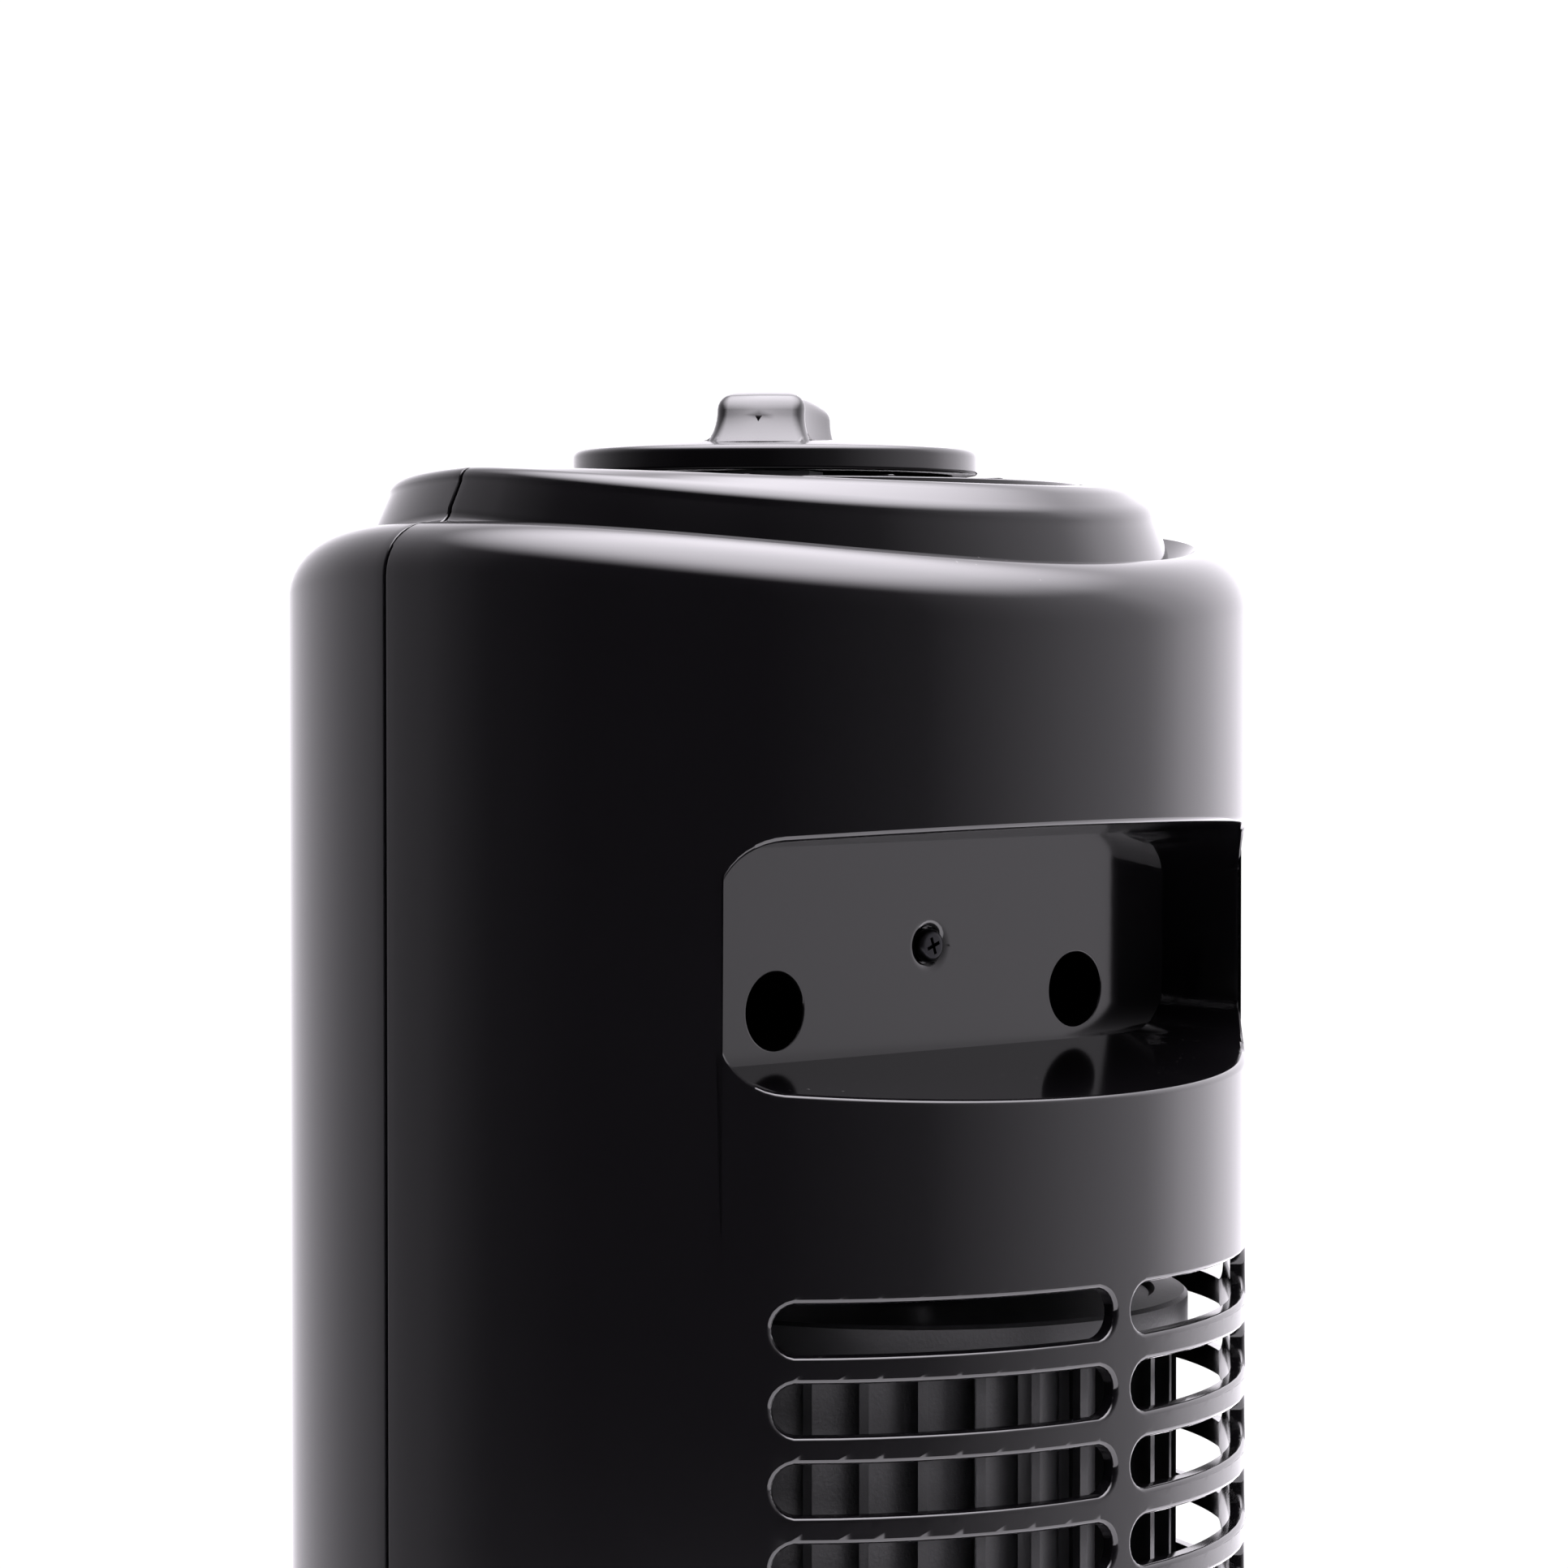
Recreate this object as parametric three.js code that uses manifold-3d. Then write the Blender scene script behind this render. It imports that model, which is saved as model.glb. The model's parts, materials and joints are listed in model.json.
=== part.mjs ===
// A tower fan that swings on a round base, with a cross-flow blower and a knob on top.
// Millimetres, +Z up, front towards -Y. The origin is on the floor, on the swing axis.

import * as THREE from "three";
import { mergeVertices } from "three/addons/utils/BufferGeometryUtils.js";
import Module from "manifold-3d";

const wasm = await Module();
wasm.setup();

// ---------------------------------------------------------------- driving dimensions

const GAP = 0.3; // between pieces that touch
const RUNNING_GAP = 1.2; // between pieces that move past each other

// Base.
const FOOT_HEIGHT = 3.2;
const FOOT_RADIUS = 11;
const FOOT_CIRCLE = 98;
const BASE_RADIUS = 120;
const BASE_SIDES = 30;
const BASE_RIM_TOP = 15;
const BASE_TOP = 40;
const BASE_HUB_RADIUS = 66;
const BASE_WALL = 2.8;
const BASE_PLATE_THICKNESS = 2.5;
const BASE_SCREW_CIRCLE = 104;
const BASE_POST_RADIUS = 5;
const GLAND_Z = 12.6;
const GLAND_RADIUS = 4.6;
const GLAND_FLANGE = 6.2;
const GLAND_FLANGE_DEPTH = 1.5;
const GLAND_BORE = 2.6;
const GLAND_INSIDE = 2.2; // clears the rim's curve

// Tower body: a half circle at the back, a fuller curve at the front.
const BODY_RADIUS = 75;
const BODY_CENTRE_Y = 2.5;
const FRONT_DEPTH = 80.8;
const FRONT_FULLNESS = 2.3; // 2 is an ellipse, more is squarer
const BODY_BOTTOM = BASE_TOP + 6;
const BODY_HEIGHT = 665.4;
const BODY_TOP = BODY_BOTTOM + BODY_HEIGHT; // the raised top, at the seam
const BODY_SIDES = 24;
const WALL = 2.5;
const TOP_WALL = 5.5;
const SEAM_Y = -8.3;
const SEAM_WIDTH = 0.4;

// The top: a rounded shoulder, a shelf, and a raised part that carries the knob.
const SHOULDER_RADIUS = 8.5;
const PLATEAU_HEIGHT = 8.7;
const PLATEAU_RADIUS = BODY_RADIUS - 13;
const PLATEAU_DRAFT = 2;
const PLATEAU_ROUND = 1.7;
const SHOULDER_FALL = { back: 8, front: 8, power: 2.2 };
const SHELF_FALL = { back: 12.5, front: 8, power: 1.25 };
const PLATEAU_FALL = { back: 8.5, front: 4, power: 1.4 };
const DIAL_FALL = { back: 4.5, front: 1.5, power: 1.4 };

// Handle pocket in the back.
const POCKET_Z = BODY_TOP - 75.4; // the height of its middle
const POCKET_BACK_Y = 35.7;
const POCKET_HALF_WIDTH = 54.7;
const POCKET_HALF_HEIGHT = 16.6;
const POCKET_SIDE_DRAFT = 0.227;
const POCKET_ROOF_DRAFT = 0.094;
const POCKET_SCREW_RECESS = { around: 0.7, depth: 1.2 };
const DEEP_BORE = { x: 33.6, below: 8.6, radius: 6, depth: 27, wall: 2.2, floor: 3 };

// Air intake: rows of slots in the back, in three columns.
const SLOT_HEIGHT = 7.85;
const SLOT_PITCH = 11.9;
const INTAKE_TOP = POCKET_Z - 49.8;
const INTAKE_BOTTOM = BODY_BOTTOM + 66;
const INTAKE_COLUMNS = [
  [45, 88.6],
  [91.4, 134.8],
  [142, 176],
];

// Air outlet in the front, closed by the grille.
const OUTLET_HALF_WIDTH = 48;
const OUTLET_TOP = INTAKE_TOP + 1.8;
const OUTLET_BOTTOM = BODY_BOTTOM + 62;
const GRILLE_RIM = 4;
const GRILLE_COLUMNS = 11;
const GRILLE_ROWS = 6;
const GRILLE_BAR = 2.4;
const GRILLE_TIE = 3;
const GRILLE_INSET = 0.6;
const GRILLE_THICKNESS = 2.8;

// Main motor, hung from its bracket under the wheel.
const BRACKET_Z = BODY_BOTTOM + 52;
const BRACKET_THICKNESS = 2;
const BRACKET_RADIUS = 52;
const MOTOR_RADIUS = 36;
const MOTOR_CAP_TOP = 7.4;
const STATOR_HEIGHT = 22;
const MOTOR_CAP_BOTTOM = 6.7;
const ROTOR_RADIUS = 17;
const SHAFT_RADIUS = 3;
const POST_CIRCLE = 43;
const POST_RADIUS = 4.5;
const POST_ANGLES = [30, 150, 270];

// Top bearing bracket.
const TOP_BRACKET_Z = INTAKE_TOP + 3.8;
const TOP_BRACKET_THICKNESS = 3;
const BUSH_RADIUS = 9;
const BUSH_HEIGHT = 10;
const BUSH_FLANGE = { extra: 3, height: 2 };
const TAB_HALF_WIDTH = 12;
const TAB_THICKNESS = 2.5;

// Blower wheel.
const WHEEL_X = -13;
const WHEEL_Y = POCKET_BACK_Y - 17.7; // its bearing keeps clear of the pocket
const WHEEL_BOTTOM = BRACKET_Z + 8;
const WHEEL_TOP = TOP_BRACKET_Z - 11;
const WHEEL_DISC_RADIUS = 45.6;
const BLADE_OUTER = WHEEL_DISC_RADIUS - 2.1;
const BLADE_INNER = WHEEL_DISC_RADIUS - 12.6;
const BLADE_COUNT = 30;
const BLADE_THICKNESS = 1.2;
const BLADE_LEAN = 14; // degrees that the inner edge trails the outer one
const WHEEL_RINGS = 2;
const WHEEL_PLATE = 2.5;
const WHEEL_RIM = { height: 7, thickness: 2.2 };
const HUB_RADIUS = 9;
const HUB = { above: 3, below: 4.5, inside: 14 };
const GRUB = { radius: 1.5, up: 2.4 };

// Scroll and cut-off walls beside the wheel.
const DUCT_WALL = 1.6;
const SCROLL_START = 12; // degrees round the wheel from +X
const SCROLL_CLEARANCE = 3;
const CUTOFF_CLEARANCE = 2;

// Control knob, dial plate and rotary switch.
const DIAL_RADIUS = 50;
const DIAL_TOP = BODY_TOP - 2;
const DIAL_THICKNESS = 1.4;
const KNOB_RADIUS = 33;
const KNOB_BOTTOM = DIAL_TOP + 1.6;
const KNOB_DISC = 5;
const KNOB_TOP = KNOB_BOTTOM + 13.3;
const GRIP_HALF_LENGTH = 27;
const GRIP_END_WIDTH = 17.6;
const GRIP_WAIST = 9;
const POINTER_ANGLE = 41; // degrees from +X to the marked end of the grip
const SWITCH_RADIUS = 18;
const SWITCH_HEIGHT = 22;
const SWITCH_DROP = 3; // below the underside of the top
const SWITCH_BUSH_RADIUS = 5;
const NUT_RADIUS = 8;
const NUT_HEIGHT = 2;

// Swing joint and its drive.
const TURNTABLE_RADIUS = 63;
const SLIDE_RING = { inner: 46, outer: 58, height: 2 };
const TURNTABLE_RISE = 4.7; // how far its plate stands inside the body
const PIVOT_RADIUS = 12.7;
const PIVOT_BORE = 9.5;
const PIVOT_FLANGE = 20;
const FLANGE_THICKNESS = 2;
const ARM_THICKNESS = 3;
const ARM_HUB = 22;
const ARM_LENGTH = 70;
const CRANK_Y = 40;
const CRANK_THROW = 23;
const CRANK_PIN_RADIUS = 2.5;
const CRANK_THICKNESS = 3;
const ARM_SLOT_CLEARANCE = 4.8; // opened, because the model's crank turns at a fixed ratio
const SWING_MOTOR_RADIUS = 25;
const SWING_MOTOR_EAR = { reach: 5, radius: 4, height: 5, thickness: 1.5 };

// Screws.
const SCREW = { head: 4, headHeight: 2.6, shank: 1.8 };
const POCKET_SCREW = { head: 2.7, headHeight: 1.7, shank: 1.8 };

// ---------------------------------------------------------------- materials

const gloss = { color: 0x0b0b0d, roughness: 0.12, metalness: 0 };
const matte = { color: 0x18181a, roughness: 0.55, metalness: 0 };
const blower = { color: 0x1b1b1d, roughness: 0.5, metalness: 0 };
const rubber = { color: 0x101011, roughness: 0.9, metalness: 0 };
const steel = { color: 0xa9abad, roughness: 0.35, metalness: 1 };
const zinc = { color: 0x8e9192, roughness: 0.5, metalness: 1 };
const nylon = { color: 0xd9d6cc, roughness: 0.6, metalness: 0 };
const lamination = { color: 0x55575a, roughness: 0.6, metalness: 0.8 };

// ---------------------------------------------------------------- solids

const radians = THREE.MathUtils.degToRad;

// A closed three.js geometry as a solid that can be cut and joined.
function solid(geometry) {
  const bare = geometry.clone();
  bare.deleteAttribute("normal");
  bare.deleteAttribute("uv");
  const merged = mergeVertices(bare, 1e-4);
  const corners = new Uint32Array(merged.index.array);
  const build = () =>
    new wasm.Manifold(
      new wasm.Mesh({
        numProp: 3,
        vertProperties: merged.attributes.position.array,
        triVerts: corners,
      }),
    );
  const made = build();
  if (made.volume() > 0) return made;
  for (let i = 0; i < corners.length; i += 3) {
    const first = corners[i];
    corners[i] = corners[i + 1];
    corners[i + 1] = first;
  }
  return build();
}

function join(...solids) {
  return solids.reduce((all, next) => all.add(next));
}

function cut(from, ...solids) {
  return from.subtract(join(...solids));
}

// The geometry of a finished solid.
function geometryOf(made) {
  const mesh = made.getMesh();
  const positions = new Float32Array(mesh.numVert * 3);
  for (let i = 0; i < mesh.numVert; i++)
    for (let k = 0; k < 3; k++)
      positions[3 * i + k] = mesh.vertProperties[i * mesh.numProp + k];
  const geometry = new THREE.BufferGeometry();
  geometry.setAttribute("position", new THREE.BufferAttribute(positions, 3));
  geometry.setIndex(Array.from(mesh.triVerts));
  const flat = geometry.toNonIndexed();
  flat.computeVertexNormals();
  return flat;
}

function box(x0, x1, y0, y1, z0, z1) {
  const geometry = new THREE.BoxGeometry(x1 - x0, y1 - y0, z1 - z0);
  geometry.translate((x0 + x1) / 2, (y0 + y1) / 2, (z0 + z1) / 2);
  return solid(geometry);
}

// A round bar along +Z from z0 to z1.
function bar(radius, z0, z1, x = 0, y = 0, sides = 16) {
  const geometry = new THREE.CylinderGeometry(radius, radius, z1 - z0, sides);
  geometry.rotateX(Math.PI / 2);
  geometry.translate(x, y, (z0 + z1) / 2);
  return solid(geometry);
}

// A round bar along Y from y0 to y1.
function barY(radius, y0, y1, x, z, sides = 16) {
  const geometry = new THREE.CylinderGeometry(radius, radius, y1 - y0, sides);
  geometry.translate(x, (y0 + y1) / 2, z);
  return solid(geometry);
}

// A turned piece: its profile is a list of [radius, z] that closes on itself or on the axis.
function turned(profile, x = 0, y = 0, sides = 24) {
  const points = profile.map(([r, z]) => new THREE.Vector2(r, z));
  const geometry = new THREE.LatheGeometry(points, sides);
  geometry.rotateX(Math.PI / 2);
  geometry.translate(x, y, 0);
  return solid(geometry);
}

// A washer-shaped piece.
function ring(inner, outer, z0, z1, x = 0, y = 0, sides = 24) {
  const profile = [[inner, z0], [outer, z0], [outer, z1], [inner, z1], [inner, z0]];
  return turned(profile, x, y, sides);
}

// An outline in XY raised from z0 to z1.
function prism(points, z0, z1) {
  const shape = new THREE.Shape(points.map(([x, y]) => new THREE.Vector2(x, y)));
  const geometry = new THREE.ExtrudeGeometry(shape, { depth: z1 - z0, bevelEnabled: false });
  geometry.translate(0, 0, z0);
  return solid(geometry);
}

// A wall of even thickness along a line of points.
function wallAlong(points, thickness, z0, z1) {
  const side = (sign) =>
    points.map(([x, y], i) => {
      const [ax, ay] = points[Math.max(i - 1, 0)];
      const [bx, by] = points[Math.min(i + 1, points.length - 1)];
      const length = Math.hypot(bx - ax, by - ay);
      const offset = (sign * thickness) / 2 / length;
      return [x - (by - ay) * offset, y + (bx - ax) * offset];
    });
  return prism([...side(1), ...side(-1).reverse()], z0, z1);
}

// A pan-head screw standing on +Z, its head's underside at z = 0 and its shank below.
function screwGeometry(length, { head, headHeight, shank } = SCREW) {
  const profile = [
    [0, -length], [shank, -length], [shank, 0], [head, 0], [head, headHeight], [0, headHeight]];
  return geometryOf(turned(profile, 0, 0, 8));
}

// ---------------------------------------------------------------- scene graph

const fan = new THREE.Group();
const tower = new THREE.Group();
fan.add(tower);

function addPiece(parent, name, shape, look) {
  const geometry = shape.isBufferGeometry ? shape : geometryOf(shape);
  const mesh = new THREE.Mesh(geometry, new THREE.MeshStandardMaterial(look));
  mesh.name = name;
  parent.add(mesh);
  return mesh;
}

// ---------------------------------------------------------------- body outline and top

// How far the top has fallen at a place along the body, away from the seam.
function fall(y, { back, front, power }) {
  const backEdge = BODY_CENTRE_Y + BODY_RADIUS;
  const frontEdge = BODY_CENTRE_Y - FRONT_DEPTH;
  const behind = y > SEAM_Y;
  const share = (y - SEAM_Y) / ((behind ? backEdge : frontEdge) - SEAM_Y);
  return (behind ? back : front) * Math.pow(Math.max(share, 0), power);
}

// The place on the body's outline, shrunk to a radius, in a direction in degrees.
function onOutline(radius, degrees) {
  const c = Math.cos(radians(degrees));
  const s = Math.sin(radians(degrees));
  if (s >= 0) return [radius * c, BODY_CENTRE_Y + radius * s];
  const power = 2 / FRONT_FULLNESS;
  const x = radius * Math.sign(c) * Math.pow(Math.abs(c), power);
  const depth = radius * (FRONT_DEPTH / BODY_RADIUS);
  return [x, BODY_CENTRE_Y - depth * Math.pow(-s, power)];
}

function outline(radius, sides = BODY_SIDES) {
  return Array.from({ length: sides }, (_, i) => onOutline(radius, (360 * i) / sides));
}

const SHELF_Z = BODY_TOP - PLATEAU_HEIGHT;
const NO_FALL = { back: 0, front: 0, power: 1 };

// The body filled from z = bottom to its top, with everything moved in by a wall.
function bodyBlock(bottom, wall, topWall) {
  const profile = [
    { r: 0, z: bottom, drop: NO_FALL },
    { r: BODY_RADIUS - wall, z: bottom, drop: NO_FALL },
  ];
  const centre = BODY_RADIUS - SHOULDER_RADIUS;
  const steps = 4;
  for (let i = 0; i <= steps; i++) {
    const turn = (Math.PI / 2) * (i / steps);
    profile.push({
      r: centre + (SHOULDER_RADIUS - wall) * Math.cos(turn),
      z: SHELF_Z - SHOULDER_RADIUS + (SHOULDER_RADIUS - wall) * Math.sin(turn),
      drop: SHOULDER_FALL,
    });
  }
  const topRadius = PLATEAU_RADIUS - PLATEAU_DRAFT - wall;
  profile.push({ r: PLATEAU_RADIUS - wall, z: SHELF_Z - wall, drop: SHELF_FALL });
  profile.push({ r: topRadius, z: BODY_TOP - PLATEAU_ROUND - topWall, drop: PLATEAU_FALL });
  profile.push({ r: topRadius - PLATEAU_ROUND, z: BODY_TOP - topWall, drop: PLATEAU_FALL });
  profile.push({ r: DIAL_RADIUS + 4.5, z: BODY_TOP - topWall, drop: DIAL_FALL });
  profile.push({ r: DIAL_RADIUS + 1, z: BODY_TOP - topWall, drop: DIAL_FALL });
  profile.push({ r: 0, z: BODY_TOP - topWall, drop: NO_FALL });

  const points = profile.map(({ r, z }) => new THREE.Vector2(r, z));
  const geometry = new THREE.LatheGeometry(points, BODY_SIDES);
  const position = geometry.attributes.position;
  for (let i = 0; i < position.count; i++) {
    const { r, z, drop } = profile[i % profile.length];
    const turn = (360 * Math.floor(i / profile.length)) / BODY_SIDES;
    const [x, y] = onOutline(r, turn);
    position.setXYZ(i, x, y, z - fall(y, drop));
  }
  return solid(geometry);
}

const FAR = 400; // past every edge of the fan
const bodyShell = cut(bodyBlock(BODY_BOTTOM, 0, 0), bodyBlock(BODY_BOTTOM - 5, WALL, TOP_WALL));
const behindSeam = box(-FAR, FAR, SEAM_Y + SEAM_WIDTH / 2, FAR, -FAR, 3 * FAR);
const beforeSeam = box(-FAR, FAR, -FAR, SEAM_Y - SEAM_WIDTH / 2, -FAR, 3 * FAR);
const dialSeat = DIAL_TOP - DIAL_THICKNESS - GAP;
const dialRecess = bar(DIAL_RADIUS + GAP, dialSeat, BODY_TOP + 5, 0, 0, 36);
const dialPedestal = bar(
  DIAL_RADIUS, BODY_TOP - TOP_WALL - SWITCH_DROP, dialSeat, 0, 0, 36);

// Vertical screw bosses inside the shells' lower ends, where the turntable is screwed on.
const TURNTABLE_TOP = BODY_BOTTOM + TURNTABLE_RISE;
const FOOT_BOSS = { radius: 5, height: 26, inset: 6.5 };
const footBossPlaces = [20, 160, 215, 325].map((angle) =>
  onOutline(BODY_RADIUS - FOOT_BOSS.inset, angle),
);

function footBosses(places) {
  const z0 = TURNTABLE_TOP + GAP;
  const posts = places.map(([x, y]) => bar(FOOT_BOSS.radius, z0, z0 + FOOT_BOSS.height, x, y, 12));
  return join(...posts).intersect(bodyBlock(BODY_BOTTOM, WALL / 2, TOP_WALL));
}

function footPilots(places) {
  const z0 = TURNTABLE_TOP;
  const radius = SCREW.shank + GAP;
  return join(...places.map(([x, y]) => bar(radius, z0 - 1, z0 + 14, x, y, 10)));
}

// ---------------------------------------------------------------- rear shell

// A block along Y whose back end is larger than its front end by the drafts.
function draftedBlock(y0, y1, halfWidth, halfHeight) {
  const geometry = new THREE.BoxGeometry(2 * halfWidth, y1 - y0, 2 * halfHeight);
  const position = geometry.attributes.position;
  for (let i = 0; i < position.count; i++) {
    if (position.getY(i) < 0) continue;
    const wider = 1 + ((y1 - y0) * POCKET_SIDE_DRAFT) / halfWidth;
    const taller = 1 + ((y1 - y0) * POCKET_ROOF_DRAFT) / halfHeight;
    position.setX(i, position.getX(i) * wider);
    position.setZ(i, position.getZ(i) * taller);
  }
  geometry.translate(0, (y0 + y1) / 2, POCKET_Z);
  return solid(geometry);
}

const pocketMouth = BODY_CENTRE_Y + BODY_RADIUS + 4;
const pocketHollow = draftedBlock(
  POCKET_BACK_Y, pocketMouth, POCKET_HALF_WIDTH, POCKET_HALF_HEIGHT);
const pocketWalls = draftedBlock(
  POCKET_BACK_Y - WALL, pocketMouth, POCKET_HALF_WIDTH + WALL, POCKET_HALF_HEIGHT + WALL,
).intersect(bodyBlock(BODY_BOTTOM, WALL / 2, TOP_WALL));

const boreZ = POCKET_Z - DEEP_BORE.below;
const boreEndY = POCKET_BACK_Y - DEEP_BORE.depth;
const bossEndY = boreEndY - DEEP_BORE.floor;

function boreTube(x) {
  return barY(DEEP_BORE.radius + DEEP_BORE.wall, bossEndY, POCKET_BACK_Y - WALL / 2, x, boreZ);
}

function boreHollow(x) {
  return join(
    barY(DEEP_BORE.radius, boreEndY, POCKET_BACK_Y + 1, x, boreZ),
    barY(SCREW.shank + GAP, bossEndY - 1, boreEndY + 1, x, boreZ, 10),
  );
}

// One intake slot: a wedge of air that crosses the wall between two directions.
function intakeSlot(from, to, z) {
  const inside = BODY_RADIUS - 4 * WALL;
  const outside = BODY_RADIUS + 4 * WALL;
  const at = (radius, angle) => onOutline(radius, angle);
  const middle = (from + to) / 2;
  const wedge = [
    at(inside, from), at(outside, from), at(outside * 1.06, middle),
    at(outside, to), at(inside, to), at(inside, middle),
  ];
  return prism(wedge, z, z + SLOT_HEIGHT);
}

function intakeSlots() {
  const slots = [];
  for (let z = INTAKE_TOP - SLOT_HEIGHT; z > INTAKE_BOTTOM; z -= SLOT_PITCH)
    for (const [from, to] of INTAKE_COLUMNS) slots.push(intakeSlot(from, to, z));
  return join(...slots);
}

function rearShell() {
  const rearBosses = footBossPlaces.slice(0, 2);
  const half = bodyShell.intersect(behindSeam);
  const pedestal = dialPedestal.intersect(behindSeam);
  const filled = join(
    half, pedestal, pocketWalls, footBosses(rearBosses),
    boreTube(DEEP_BORE.x), boreTube(-DEEP_BORE.x));
  const { depth } = POCKET_SCREW_RECESS;
  const recess = POCKET_SCREW.head + POCKET_SCREW_RECESS.around;
  return cut(
    filled,
    pocketHollow,
    boreHollow(DEEP_BORE.x),
    boreHollow(-DEEP_BORE.x),
    barY(SCREW.shank + GAP, POCKET_BACK_Y - 2 * WALL, POCKET_BACK_Y + 1, 0, POCKET_Z, 10),
    barY(recess, POCKET_BACK_Y - depth, POCKET_BACK_Y + 1, 0, POCKET_Z),
    dialRecess,
    bar(SWITCH_BUSH_RADIUS + GAP, BODY_TOP - 2 * TOP_WALL, BODY_TOP, 0, 0),
    footPilots(rearBosses),
    intakeSlots(),
  );
}

// ---------------------------------------------------------------- front shell and grille

const outletWindow = box(
  -OUTLET_HALF_WIDTH, OUTLET_HALF_WIDTH, -FAR, -OUTLET_HALF_WIDTH / 2, OUTLET_BOTTOM, OUTLET_TOP);

// A long post from the front wall back to the deep screws.
function screwPost(x) {
  const front = BODY_CENTRE_Y - FRONT_DEPTH;
  return barY(DEEP_BORE.radius - 0.8, front, bossEndY - GAP, x, boreZ, 12).intersect(
    bodyBlock(BODY_BOTTOM, WALL / 2, TOP_WALL),
  );
}

function screwPilot(x) {
  return barY(SCREW.shank + GAP, bossEndY - 14, bossEndY + 1, x, boreZ, 10);
}

function frontShell() {
  const frontBosses = footBossPlaces.slice(2);
  const filled = join(
    bodyShell.intersect(beforeSeam), footBosses(frontBosses),
    screwPost(DEEP_BORE.x), screwPost(-DEEP_BORE.x));
  return cut(
    filled, outletWindow, dialRecess, footPilots(frontBosses),
    screwPilot(DEEP_BORE.x), screwPilot(-DEEP_BORE.x));
}

function frontGrille() {
  const edge = OUTLET_HALF_WIDTH - GAP;
  const sheet = cut(
    bodyBlock(BODY_BOTTOM, GRILLE_INSET, TOP_WALL),
    bodyBlock(BODY_BOTTOM - 5, GRILLE_INSET + GRILLE_THICKNESS, TOP_WALL + 5),
  );
  const panel = sheet.intersect(
    box(-edge, edge, -FAR, -OUTLET_HALF_WIDTH / 2, OUTLET_BOTTOM + GAP, OUTLET_TOP - GAP));
  const width = 2 * (edge - GRILLE_RIM);
  const height = OUTLET_TOP - OUTLET_BOTTOM - 2 * (GAP + GRILLE_RIM);
  const columnPitch = (width + GRILLE_BAR) / GRILLE_COLUMNS;
  const rowPitch = (height + GRILLE_TIE) / GRILLE_ROWS;
  const slots = [];
  for (let column = 0; column < GRILLE_COLUMNS; column++)
    for (let row = 0; row < GRILLE_ROWS; row++) {
      const x = -width / 2 + column * columnPitch;
      const z = OUTLET_BOTTOM + GAP + GRILLE_RIM + row * rowPitch;
      slots.push(box(x, x + columnPitch - GRILLE_BAR, -FAR, 0, z, z + rowPitch - GRILLE_TIE));
    }
  return cut(panel, ...slots);
}

addPiece(tower, "rear_shell", rearShell(), gloss);
addPiece(tower, "front_shell", frontShell(), gloss);
addPiece(tower, "front_grille", frontGrille(), matte);

// ---------------------------------------------------------------- screws of the pocket

// Places a screw whose shank points towards -Y.
function screwTowardsFront(name, x, y, z, length, size = SCREW) {
  const screw = addPiece(tower, name, screwGeometry(length, size), zinc);
  screw.rotation.x = -Math.PI / 2;
  screw.position.set(x, y, z);
}

const recessFloorY = POCKET_BACK_Y - POCKET_SCREW_RECESS.depth;
screwTowardsFront("pocket_screw", 0, recessFloorY + GAP, POCKET_Z, 12, POCKET_SCREW);
screwTowardsFront("shell_screw_left", -DEEP_BORE.x, boreEndY + GAP, boreZ, 14);
screwTowardsFront("shell_screw_right", DEEP_BORE.x, boreEndY + GAP, boreZ, 14);

// ---------------------------------------------------------------- scroll and cut-off

const innerClear = BODY_RADIUS - WALL - 1.4; // radius that clears the shells' inner facets
const ductBottom = BRACKET_Z + BRACKET_THICKNESS + GAP;
const ductTop = TOP_BRACKET_Z - GAP;

// The scroll opens evenly from the wheel to the edge of the outlet.
function scrollLine() {
  const exitX = OUTLET_HALF_WIDTH - 2;
  const exitY = outletInnerY(exitX) + DUCT_WALL;
  const end = THREE.MathUtils.radToDeg(Math.atan2(exitY - WHEEL_Y, exitX - WHEEL_X));
  const startRadius = WHEEL_DISC_RADIUS + SCROLL_CLEARANCE;
  const endRadius = Math.hypot(exitX - WHEEL_X, exitY - WHEEL_Y);
  const steps = 12;
  return Array.from({ length: steps + 1 }, (_, i) => {
    const share = i / steps;
    const angle = radians(SCROLL_START + (end - SCROLL_START) * share);
    const radius = startRadius + (endRadius - startRadius) * share;
    return [WHEEL_X + radius * Math.cos(angle), WHEEL_Y + radius * Math.sin(angle)];
  });
}

// Where the grille's inner face stands at a place across it.
function outletInnerY(x) {
  const front = outline(BODY_RADIUS - GRILLE_INSET - GRILLE_THICKNESS).filter(([, y]) => y < 0);
  const after = front.findIndex(([pointX]) => pointX > x);
  const [x0, y0] = front[after - 1];
  const [x1, y1] = front[after];
  return y0 + ((y1 - y0) * (x - x0)) / (x1 - x0);
}

function cutoffLine() {
  const lip = WHEEL_DISC_RADIUS + CUTOFF_CLEARANCE + DUCT_WALL;
  const at = (angle, radius) => [
    WHEEL_X + radius * Math.cos(radians(angle)),
    WHEEL_Y + radius * Math.sin(radians(angle)),
  ];
  const exitX = -(OUTLET_HALF_WIDTH - 2);
  const [wallX, wallY] = onOutline(innerClear, 197);
  return [
    [wallX + 2, wallY],
    at(212, lip + 4),
    at(218, lip),
    at(226, lip),
    at(232, lip + 4),
    [exitX, (at(232, lip + 4)[1] + outletInnerY(exitX)) / 2],
    [exitX, outletInnerY(exitX) + DUCT_WALL],
  ];
}

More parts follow.
